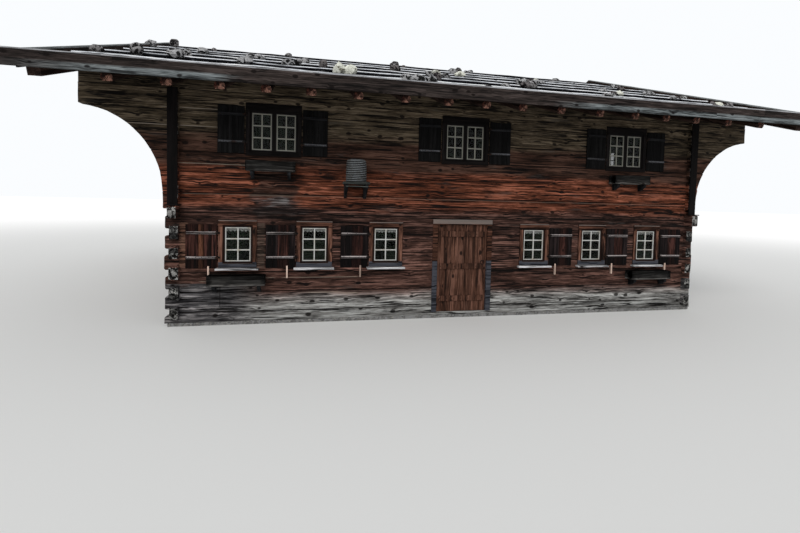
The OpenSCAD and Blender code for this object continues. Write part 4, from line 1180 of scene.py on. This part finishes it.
def set_stone(bm, slope, place, shape, tone, pick):
    """A field stone, lumpy and broken, lying on a place of the slope's frame."""
    made = bmesh.ops.create_icosphere(bm, subdivisions=2, radius=0.5)["verts"]
    seed = Vector([pick.uniform(0, 50) for _ in range(3)])
    faces = [Vector([pick.uniform(-1, 1) for _ in range(3)]).normalized() for _ in range(5)]
    lumpy, rough = (0.16, 0.16) if tone < 0.9 else (0.22, 0.06)
    for vert in made:
        for face in faces:
            over = vert.co.dot(face) - 0.36
            if over > 0:
                vert.co -= face * over
        lump = 1.08 + lumpy * noise.noise(vert.co * 2.3 + seed) + rough * noise.noise(vert.co * 6.1 + seed)
        vert.co = Vector([c * lump * k for c, k in zip(vert.co, shape)])
    spin = Matrix.Rotation(pick.uniform(-0.5, 0.5), 4, "Z")
    spin = spin @ Matrix.Rotation(pick.uniform(-0.2, 0.2), 4, "Y")
    lift = Matrix.Translation(Vector(place) + Vector((0, 0, shape[2] * 0.4)))
    bmesh.ops.transform(bm, matrix=slope @ lift @ spin, verts=made)
    give_tone(bm, made, tone)


# Stones that show over the front eave: (from the left gable's face, up the slope, width, height, tone)
SEEN_STONES = (
    (-1.55, 2.24, 0.27, 0.19, 0.3), (-0.97, 2.65, 0.27, 0.29, 0.35), (-1.78, 6.16, 0.35, 0.23, 0.4),
    (-1.51, 7.52, 0.28, 0.28, 0.3), (-0.23, 2.69, 0.36, 0.24, 0.6), (-0.24, 3.66, 0.23, 0.2, 0.7),
    (-0.21, 5.14, 0.29, 0.2, 0.5), (-0.27, 6.87, 0.2, 0.14, 0.3), (1.17, 2.64, 0.35, 0.18, 0.6),
    (1.03, 4.72, 0.3, 0.17, 0.6), (1.31, 4.38, 0.27, 0.2, 0.7), (1.9, 7.21, 0.24, 0.18, 0.3),
    (2.09, 2.96, 0.32, 0.22, 0.6), (2.27, 3.35, 0.22, 0.22, 0.4), (2.46, 4.51, 0.25, 0.19, 0.4),
    (2.91, 3.42, 0.22, 0.23, 0.15), (3.2, 2.06, 0.3, 0.27, 0.95), (3.44, 2.01, 0.3, 0.24, 1.0),
)


def lay_stones(side):
    """Stones that hold the poles down, in loose groups along each pole."""
    sizes = bpy.context.scene.farmhouse_sizes
    pick = random.Random(41 if side == "front" else 42)
    slope = slope_matrix(side)
    bm = toned()
    if side == "front":
        for out, run, width, tall, tone in SEEN_STONES:
            place = (-HALF_L + out, run, 2 * LAYER_T + 0.02)
            set_stone(bm, slope, place, (width, width * 0.8, tall), tone, pick)
    for low, high in solids_of(side + "_weight_poles"):
        run = (DECK_HIGH.y - DECK_LOW.y - abs((low.y + high.y) / 2)) / math.cos(PITCH)
        if side == "front" and run < 8:
            x = pick.uniform(-1.4, 0.2)
        else:
            x = -ROOF_HALF + pick.uniform(0.4, 1.2)
        while x < ROOF_HALF - 0.4:
            for _ in range(pick.choice((1, 1, 2, 3))):
                size = sizes.stone_size * pick.uniform(0.65, 1.2)
                shape = [size * pick.uniform(*span) for span in ((0.9, 1.3), (0.7, 1.0), (0.55, 0.8))]
                place = (x, run + pick.uniform(-0.12, 0.16), 2 * LAYER_T + 0.01)
                set_stone(bm, slope, place, shape, pick.random(), pick)
                x += size * pick.uniform(0.7, 1.1)
            x += pick.uniform(1.4, 3.4)
    soften(bm, 32.0)
    return finish_piece(side + "_weight_stones", bm, "stone", "shingle")


# Operators

class FARMHOUSE_OT_hew_walls(bpy.types.Operator):
    """Hewn log walls and gables in place of the plain ones"""

    bl_idname = "farmhouse.hew_walls"
    bl_label = "Hew Walls"

    def execute(self, context):
        for node in WALL_NODES:
            hew_wall(node)
        worn_copy("hewn_eave_purlins", "eave_purlins", "eave_logs", 0.008, 2,
                  sway=0.008, step=0.2, along=0, seed=17)
        return {"FINISHED"}


class FARMHOUSE_OT_finish_frame(bpy.types.Operator):
    """Materials of the CAD pieces whose shape stays"""

    bl_idname = "farmhouse.finish_frame"
    bl_label = "Finish Frame"

    def execute(self, context):
        looks = {
            "stone_footing": "footing", "ground_floor": "floor", "upper_floor": "floor",
            "floor_joists": "timber", "roof_purlins": "timber", "purlin_corbels": "corbel",
            "front_roof_boards": "roof_board", "back_roof_boards": "roof_board",
            "front_shingles": "shingle", "back_shingles": "shingle", "ridge_boards": "shingle",
            "front_panes": "glass", "back_panes": "glass", "gable_panes": "glass",
        }
        for node, label in looks.items():
            mesh = frame["nodes"][node].data
            mesh.materials.clear()
            mesh.materials.append(material_of(label))
        return {"FINISHED"}


class FARMHOUSE_OT_cover_roof(bpy.types.Operator):
    """Split shingles, ridge, poles and stones"""

    bl_idname = "farmhouse.cover_roof"
    bl_label = "Cover Roof"

    def execute(self, context):
        for side in SIDES:
            lay_shingles(side)
            lay_poles(side)
            lay_stones(side)
        lay_ridge()
        return {"FINISHED"}


class FARMHOUSE_OT_trim_roof(bpy.types.Operator):
    """Rafters, fascia, verge boards and corner posts with worn edges"""

    bl_idname = "farmhouse.trim_roof"
    bl_label = "Trim Roof"

    def execute(self, context):
        for side in SIDES:
            worn_copy(side + "_worn_fascia", side + "_fascia", "fascia", 0.006, 1,
                      sway=0.006, step=0.2, along=0, seed=3)
            finish_rafters(side)
        worn_copy("worn_verge_boards", "verge_boards", "verge", 0.005, 1,
                  sway=0.004, step=0.3, along=1, seed=5)
        worn_copy("worn_corner_posts", "corner_posts", "post", 0.005, 1,
                  sway=0.005, step=0.2, along=2, seed=7)
        return {"FINISHED"}


def dress_casings(node):
    """Casings with worn edges; attributes mark where the grain stands upright and where the reveal lies."""
    bm = merged_copy(node)
    spans = [(low.z + 0.11, high.z - (0.182 if Z_STOREY < low.z and high.z < Z_WALL else 0.13))
             for low, high in solids_of(node)]
    spans = sorted({(round(low, 3), round(high, 3)) for low, high in spans})
    cut_at(bm, 2, sorted({z for span in spans for z in span}))
    bevelled(bm, 0.004, 2)
    layer = bm.faces.layers.float.new("upright")
    deep = bm.faces.layers.float.new("reveal")
    for face in bm.faces:
        middle = face.calc_center_median()
        face[layer] = float(any(low < middle.z < high for low, high in spans))
        out = abs(middle.x) - HALF_L if node.startswith("gable") else abs(middle.y) - HALF_D
        face[deep] = float(out < -0.001)
    soften(bm)
    return finish_piece("worn_" + node, bm, "casing", "casing", node)


def dress_casements(node):
    """Painted casements; an attribute marks the dark strip round their outer edge, worn paint with painted
    shade, and painted shade on their slanted edges.
    """
    rim = bpy.context.scene.farmhouse_sizes.worn_shaded_rim
    along = 1 if node.startswith("gable") else 0
    boxes = solids_of(node)
    bm = merged_copy(node)
    for axis in (along, 2):
        places = {round(place, 4) for low, high in boxes for place in (low[axis] + rim, high[axis] - rim)}
        cut_at(bm, axis, sorted(places))
    bevelled(bm, 0.0035, 1)
    layer = bm.faces.layers.float.new("rim")
    bm.normal_update()
    for face in bm.faces:
        middle = face.calc_center_median()
        for low, high in boxes:
            inside = [min(middle[axis] - low[axis], high[axis] - middle[axis]) for axis in (along, 2)]
            if min(inside) > -TINY:
                slanted = max(abs(c) for c in face.normal) < 0.95
                # Outer strip: worn paint and painted shade; slanted edges by the panes: painted shade
                face[layer] = 1.0 if min(inside) < rim else 0.75 if slanted else 0.0
    soften(bm)
    return finish_piece("painted_" + node, bm, "paint", "sash", node)


class FARMHOUSE_OT_dress_windows(bpy.types.Operator):
    """Casings, painted casements, sills and lace"""

    bl_idname = "farmhouse.dress_windows"
    bl_label = "Dress Windows"

    def execute(self, context):
        for side in ("front", "back", "gable"):
            dress_casings(side + "_casings")
            dress_casements(side + "_sashes")
        worn_copy("worn_sills", "window_sills", "silver", 0.01, 2,
                  sway=0.012, step=0.06, along=0, seed=11)
        for number, (low, high) in enumerate(sorted(solids_of("valances"), key=lambda b: b[0].x)):
            hang_lace(number + 1, low, high)
        return {"FINISHED"}


def hang_lace(number, low, high):
    """A short lace valance with a scalloped hem and shallow folds."""
    width, drop = high.x - low.x, high.z - low.z
    bm = bmesh.new()
    place = Matrix.Translation(((low.x + high.x) / 2, low.y + 0.003, (low.z + high.z) / 2))
    turn = Matrix.Rotation(math.pi / 2, 4, "X")
    bmesh.ops.create_grid(bm, x_segments=80, y_segments=6, size=0.5,
                          matrix=place @ turn @ Matrix.Diagonal((width, drop, 1, 1)))
    for vert in bm.verts:
        share = (high.z - vert.co.z) / drop
        angle = (vert.co.x - low.x) / width * math.tau
        vert.co.z = high.z - (high.z - vert.co.z) * (0.74 + 0.26 * abs(math.sin(angle * 3.5)))
        vert.co.y += math.sin(angle * 7) * 0.0022 * share
    piece = finish_piece(f"lace_valance_{number}", bm, "lace", "lace", "valances")


def nail(bm, x, y, z, radius):
    """A forged nail head that stands a little out of the wood, towards -Y."""
    bmesh.ops.create_icosphere(bm, subdivisions=1, radius=radius,
                               matrix=Matrix.Translation((x, y, z)) @ Matrix.Diagonal((1, 0.5, 1, 1)))


def spun_ring(bm, middle, axis, place, radius, segments, steps):
    """A ring: a circle at a matrix, led once round an axis through a middle."""
    verts = bmesh.ops.create_circle(bm, cap_ends=False, radius=radius, segments=segments,
                                    matrix=place)["verts"]
    edges = list({e for v in verts for e in v.link_edges})
    bmesh.ops.spin(bm, geom=verts + edges, cent=middle, axis=axis, angle=math.tau, steps=steps,
                   use_merge=True, use_duplicate=False)


# Middles of a shutter's two battens above its foot and below its head, and half of their height
BATTEN_UP = 0.22
BATTEN_DOWN = 0.17
BATTEN_HALF = 0.025

# Thickness of a shutter's boards
BOARD_T = 0.026


def batten_heights(low, high):
    """Middles of a shutter's two battens."""
    return low.z + BATTEN_UP, high.z - BATTEN_DOWN


def build_shutter(boards, battens, irons, low, high, pick):
    """Boards and two nailed battens for one shutter."""
    sizes = bpy.context.scene.farmhouse_sizes
    wall, skin = high.y, BOARD_T
    tones = (0.4, 0.36, 0.62, 0.4, 0.3) if low.x < -5.0 else (0.1, 0.13, 0.42, 0.37, 0.1)
    count = len(tones)
    edges = [low.x + (high.x - low.x) * (i / count) for i in range(count + 1)]
    for i in range(1, count):
        edges[i] += pick.uniform(-0.02, 0.02)
    for left, right, tone in zip(edges, edges[1:], tones):
        drop = pick.uniform(0, 0.006)
        block(boards, (left + BOARD_GAP, wall - skin + pick.uniform(0, 0.004), low.z + drop),
              (right - BOARD_GAP, wall, high.z - pick.uniform(0, 0.006)), tone + pick.uniform(-0.07, 0.07))
    for z in batten_heights(low, high):
        block(battens, (low.x + 0.017, low.y, z - BATTEN_HALF),
              (high.x - 0.017, wall - skin, z + BATTEN_HALF), pick.random(),
              Matrix.Rotation(pick.uniform(-0.006, 0.006), 4, "Y"))
        for left, right in zip(edges, edges[1:]):
            for side in (0.3, 0.7):
                nail(irons, left + (right - left) * side, low.y, z + pick.uniform(-0.012, 0.012),
                     sizes.nail_size)


class FARMHOUSE_OT_hang_shutters(bpy.types.Operator):
    """Boarded shutters with battens, nails and hinges"""

    bl_idname = "farmhouse.hang_shutters"
    bl_label = "Hang Shutters"

    def execute(self, context):
        sizes = context.scene.farmhouse_sizes
        pick = random.Random(51)
        casings = solids_of("front_casings")
        groups = {"low": [toned(), toned()], "high": [toned(), toned()]}
        irons = toned()
        for low, high in sorted(solids_of("front_shutters"), key=lambda b: (b[0].z, b[0].x)):
            boards, battens = groups["high" if low.z > Z_STOREY else "low"]
            build_shutter(boards, battens, irons, low, high, pick)
            middle = (low.x + high.x) / 2
            near = min((c for c in casings if abs((c[0].z + c[1].z) / 2 - (low.z + high.z) / 2) < 0.5),
                       key=lambda c: abs((c[0].x + c[1].x) / 2 - middle))
            right = (near[0].x + near[1].x) / 2 > middle
            gap = (high.x + near[0].x) / 2 if right else (low.x + near[1].x) / 2
            for z in batten_heights(low, high):
                inner = (gap - 0.05, gap) if right else (gap, gap + 0.05)
                block(irons, (inner[0], low.y - 0.004, z - sizes.strap_height / 2),
                      (inner[1], low.y + 0.001, z + sizes.strap_height / 2))
                bmesh.ops.create_cone(irons, cap_ends=True, segments=12, radius1=0.013, radius2=0.013,
                                      depth=0.08, matrix=Matrix.Translation((gap, low.y + 0.012, z)))
                plate = (gap, gap + 0.045) if right else (gap - 0.045, gap)
                block(irons, (plate[0], near[0].y - 0.005, z - 0.018),
                      (plate[1], near[0].y + 0.002, z + 0.018))
        for level, (boards, battens) in groups.items():
            for bm in (boards, battens):
                bevelled(bm, 0.003, 1)
                soften(bm)
            plank, rail = ("shutter", "batten") if level == "low" else ("dark_shutter", "dark_batten")
            finish_piece(level + "_shutter_boards", boards, plank, "shutter", "front_shutters")
            finish_piece(level + "_shutter_battens", battens, rail, "shutter")
        soften(irons)
        finish_piece("shutter_irons", irons, "iron", "bracket")
        worn_copy("worn_pegs", "shutter_pegs", "peg", 0.004, 2)
        return {"FINISHED"}


class FARMHOUSE_OT_fit_boxes(bpy.types.Operator):
    """Flower boxes with earth, their brackets, and the shelf"""

    bl_idname = "farmhouse.fit_boxes"
    bl_label = "Fit Boxes"

    def execute(self, context):
        worn_copy("worn_flower_boxes", "flower_boxes", "box", 0.004, 2,
                  sway=0.003, step=0.12, along=0, seed=13)
        worn_copy("worn_brackets", "box_brackets", "bracket", 0.005, 2)
        shelf = worn_copy("worn_shelf", "basket_shelf", "shelf", 0.004, 2,
                          sway=0.005, step=0.08, along=0, seed=15)
        # The shelf's brackets take the near-black bracket wood, a painted shade under the shelf
        shelf.data.materials.append(material_of("bracket"))
        low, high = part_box("basket_shelf")
        for face in shelf.data.polygons:
            if face.center.z < high.z - 0.05 and face.center.y > low.y + 0.04:
                face.material_index = 1
        bm = toned()
        for low, high in solids_of("flower_boxes"):
            width, depth = high.x - low.x - 0.05, high.y - low.y - 0.05
            middle = (low + high) / 2
            place = Matrix.Translation((middle.x, middle.y, high.z - 0.045))
            place = place @ Matrix.Diagonal((width, depth, 1, 1))
            made = bmesh.ops.create_grid(bm, x_segments=60, y_segments=14, size=0.5, matrix=place)["verts"]
            for vert in made:
                vert.co.z += 0.012 * noise.noise(vert.co * 9) + 0.006 * noise.noise(vert.co * 34)
        made = bmesh.ops.extrude_face_region(bm, geom=bm.faces[:])["geom"]
        moved = [g for g in made if isinstance(g, bmesh.types.BMVert)]
        bmesh.ops.translate(bm, vec=(0, 0, -0.1), verts=moved)
        bmesh.ops.recalc_face_normals(bm, faces=bm.faces[:])
        soften(bm, 60.0)
        finish_piece("box_earth", bm, "earth", "box")
        return {"FINISHED"}


class FARMHOUSE_OT_coil_basket(bpy.types.Operator):
    """Straw basket of stitched coils with a domed crown"""

    bl_idname = "farmhouse.coil_basket"
    bl_label = "Coil Basket"

    def execute(self, context):
        radius = context.scene.farmhouse_sizes.coil_radius
        low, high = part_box("straw_basket")
        axis = Vector(((low.x + high.x) / 2, (low.y + high.y) / 2, low.z))
        outer = (high.x - low.x) / 2 - radius
        tall = high.z - low.z - radius
        step = 1.84 * radius
        shoulder = 0.045
        # Middle of each coil and the way it faces, up the side, round the shoulder and over the crown
        path, z = [], radius
        while z < tall - shoulder:
            path.append((outer - 0.016 * (z / tall) ** 4, z, 0.0))
            z += step
        last = path[-1][0]
        for turn in (0.3, 0.85, 1.35):
            path.append((last - shoulder * (1 - math.cos(turn)), z - step * 0.4 + (tall - z + step * 0.4)
                         * math.sin(turn) / math.sin(1.35), turn))
        inner = path[-1][0] - step
        while inner > radius:
            path.append((inner, tall, math.pi / 2))
            inner -= step
        bm = toned()
        layer = bm.verts.layers.float["tone"]
        for reach, height, facing in path:
            before = set(bm.verts)
            place = Matrix.Translation(axis + Vector((reach, 0, height)))
            spun_ring(bm, axis, (0, 0, 1), place @ Matrix.Rotation(math.pi / 2, 4, "X"), radius, 10, 52)
            # tone: how far a point lies on the outer side of its coil, read by the straw's painted shade
            # between coils
            for vert in set(bm.verts) - before:
                off = vert.co - axis
                out = (off.xy.length - reach) * math.cos(facing) + (off.z - height) * math.sin(facing)
                vert[layer] = max(0.0, out / radius)
        bmesh.ops.remove_doubles(bm, verts=bm.verts[:], dist=TINY)
        bmesh.ops.recalc_face_normals(bm, faces=bm.faces[:])
        soften(bm, 60.0)
        MADE["straw"] = straw_material(axis)
        finish_piece("coiled_basket", bm, "straw", "straw", "straw_basket")
        return {"FINISHED"}


class FARMHOUSE_OT_hang_door(bpy.types.Operator):
    """Door of boards with ledges, nails and a ring, in its frame"""

    bl_idname = "farmhouse.hang_door"
    bl_label = "Hang Door"

    def execute(self, context):
        pick = random.Random(61)
        low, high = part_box("door_leaf")
        face = high.y - 0.055
        boards, irons = toned(), toned()
        count = 7
        for i in range(count):
            left, right = [low.x + (high.x - low.x) * edge / count for edge in (i, i + 1)]
            block(boards, (left + BOARD_GAP, face + pick.uniform(0, 0.004), low.z),
                  (right - BOARD_GAP, high.y, high.z), pick.random())
        for share in (0.12, 0.49, 0.86):
            z = low.z + share * (high.z - low.z) + 0.06
            block(boards, (low.x + 0.06, low.y, z - 0.06), (high.x - 0.06, face + 0.004, z + 0.06),
                  pick.random())
            for i in range(count):
                nail(irons, low.x + (high.x - low.x) * (i + 0.5) / count, low.y, z, 0.011)
        middle = Vector((high.x - 0.1, low.y - 0.002, low.z + 1.09))
        place = Matrix.Translation(middle + Vector((0.045, 0, 0)))
        spun_ring(irons, middle, (0, 1, 0), place, 0.008, 8, 28)
        for bm in (boards, irons):
            bmesh.ops.recalc_face_normals(bm, faces=bm.faces[:])
        bevelled(boards, 0.004, 1)
        soften(boards)
        soften(irons)
        finish_piece("door_boards", boards, "door", "door", "door_leaf")
        finish_piece("door_irons", irons, "iron", "bracket")
        worn_copy("worn_door_frame", "door_frame", "casing", 0.006, 2)
        return {"FINISHED"}


class FARMHOUSE_OT_set_stage(bpy.types.Operator):
    """Pale floor, soft light and the camera"""

    bl_idname = "farmhouse.set_stage"
    bl_label = "Set Stage"

    def execute(self, context):
        view = context.scene.farmhouse_view
        set_camera(view)
        set_light(view)
        bm = toned()
        bmesh.ops.create_grid(bm, x_segments=1, y_segments=1, size=400.0)
        mesh = bpy.data.meshes.new("floor")
        bm.to_mesh(mesh)
        bm.free()
        floor = bpy.data.objects.new("floor", mesh)
        context.scene.collection.objects.link(floor)
        mesh.materials.append(floor_material())
        context.scene.view_settings.view_transform = "Standard"
        return {"FINISHED"}


def set_camera(view):
    """Camera at the photograph's place: seen from the left gable's face, in front of the facade."""
    data = bpy.data.cameras.new("camera")
    camera = bpy.data.objects.new("camera", data)
    bpy.context.scene.collection.objects.link(camera)
    data.sensor_width = 36.0
    data.lens = view.focal
    data.shift_y = view.shift
    data.clip_end = 500.0
    eye = Vector((-HALF_L + view.eye_side, -HALF_D - view.eye_back, view.eye_height))
    camera.matrix_world = (Matrix.Translation(eye) @ Matrix.Rotation(-view.yaw, 4, "Z")
                           @ Matrix.Rotation(math.pi / 2 + view.tilt, 4, "X")
                           @ Matrix.Rotation(view.roll, 4, "Z"))
    bpy.context.scene.camera = camera


def set_light(view):
    """Even sky that shows white to the camera, and one soft sun from the left."""
    world = bpy.data.worlds.new("soft_sky")
    bpy.context.scene.world = world
    world.use_nodes = True
    tree = world.node_tree
    tree.nodes.clear()
    path = put(tree, "LightPath")
    camera, glossy, clear = [Value(path, f"Is {ray} Ray") for ray in ("Camera", "Glossy", "Transmission")]
    seen = camera.run("MAXIMUM", glossy.run("MAXIMUM", clear))
    strength = seen * (1.0 - view.sky) + view.sky
    sky = put(tree, "Background", {"Color": (0.96, 0.98, 1.0), "Strength": strength})
    fill(put(tree, "OutputWorld").inputs["Surface"], Value(sky))
    lamp = bpy.data.lights.new("soft_sun", "SUN")
    lamp.energy = view.key
    lamp.angle = math.radians(40)
    lamp.color = (1.0, 0.985, 0.96)
    sun = bpy.data.objects.new("soft_sun", lamp)
    sun.rotation_euler = (math.radians(52), 0, math.radians(-28))
    bpy.context.scene.collection.objects.link(sun)


class FARMHOUSE_PT_panel(bpy.types.Panel):
    """Operators and values of the farmhouse"""

    bl_label = "Farmhouse"
    bl_idname = "FARMHOUSE_PT_panel"
    bl_space_type = "VIEW_3D"
    bl_region_type = "UI"
    bl_category = "Farmhouse"

    def draw(self, context):
        for group in (context.scene.farmhouse_sizes, context.scene.farmhouse_colours,
                      context.scene.farmhouse_view):
            for name in group.__annotations__:
                self.layout.prop(group, name)
        for operator in OPERATORS:
            self.layout.operator(operator.bl_idname)


GROUPS = (FarmhouseColours, FarmhouseSizes, FarmhouseView)
OPERATORS = (
    FARMHOUSE_OT_set_stage, FARMHOUSE_OT_finish_frame, FARMHOUSE_OT_hew_walls, FARMHOUSE_OT_cover_roof,
    FARMHOUSE_OT_trim_roof, FARMHOUSE_OT_dress_windows, FARMHOUSE_OT_hang_shutters, FARMHOUSE_OT_fit_boxes,
    FARMHOUSE_OT_coil_basket, FARMHOUSE_OT_hang_door,
)


def register():
    for cls in (*GROUPS, *OPERATORS, FARMHOUSE_PT_panel):
        bpy.utils.register_class(cls)
    bpy.types.Scene.farmhouse_colours = bpy.props.PointerProperty(type=FarmhouseColours)
    bpy.types.Scene.farmhouse_sizes = bpy.props.PointerProperty(type=FarmhouseSizes)
    bpy.types.Scene.farmhouse_view = bpy.props.PointerProperty(type=FarmhouseView)


def unregister():
    for name in ("farmhouse_view", "farmhouse_sizes", "farmhouse_colours"):
        delattr(bpy.types.Scene, name)
    for cls in reversed((*GROUPS, *OPERATORS, FARMHOUSE_PT_panel)):
        bpy.utils.unregister_class(cls)


def main():
    register()
    for operator in OPERATORS:
        group, name = operator.bl_idname.split(".")
        getattr(getattr(bpy.ops, group), name)()


if __name__ == "__main__":
    main()
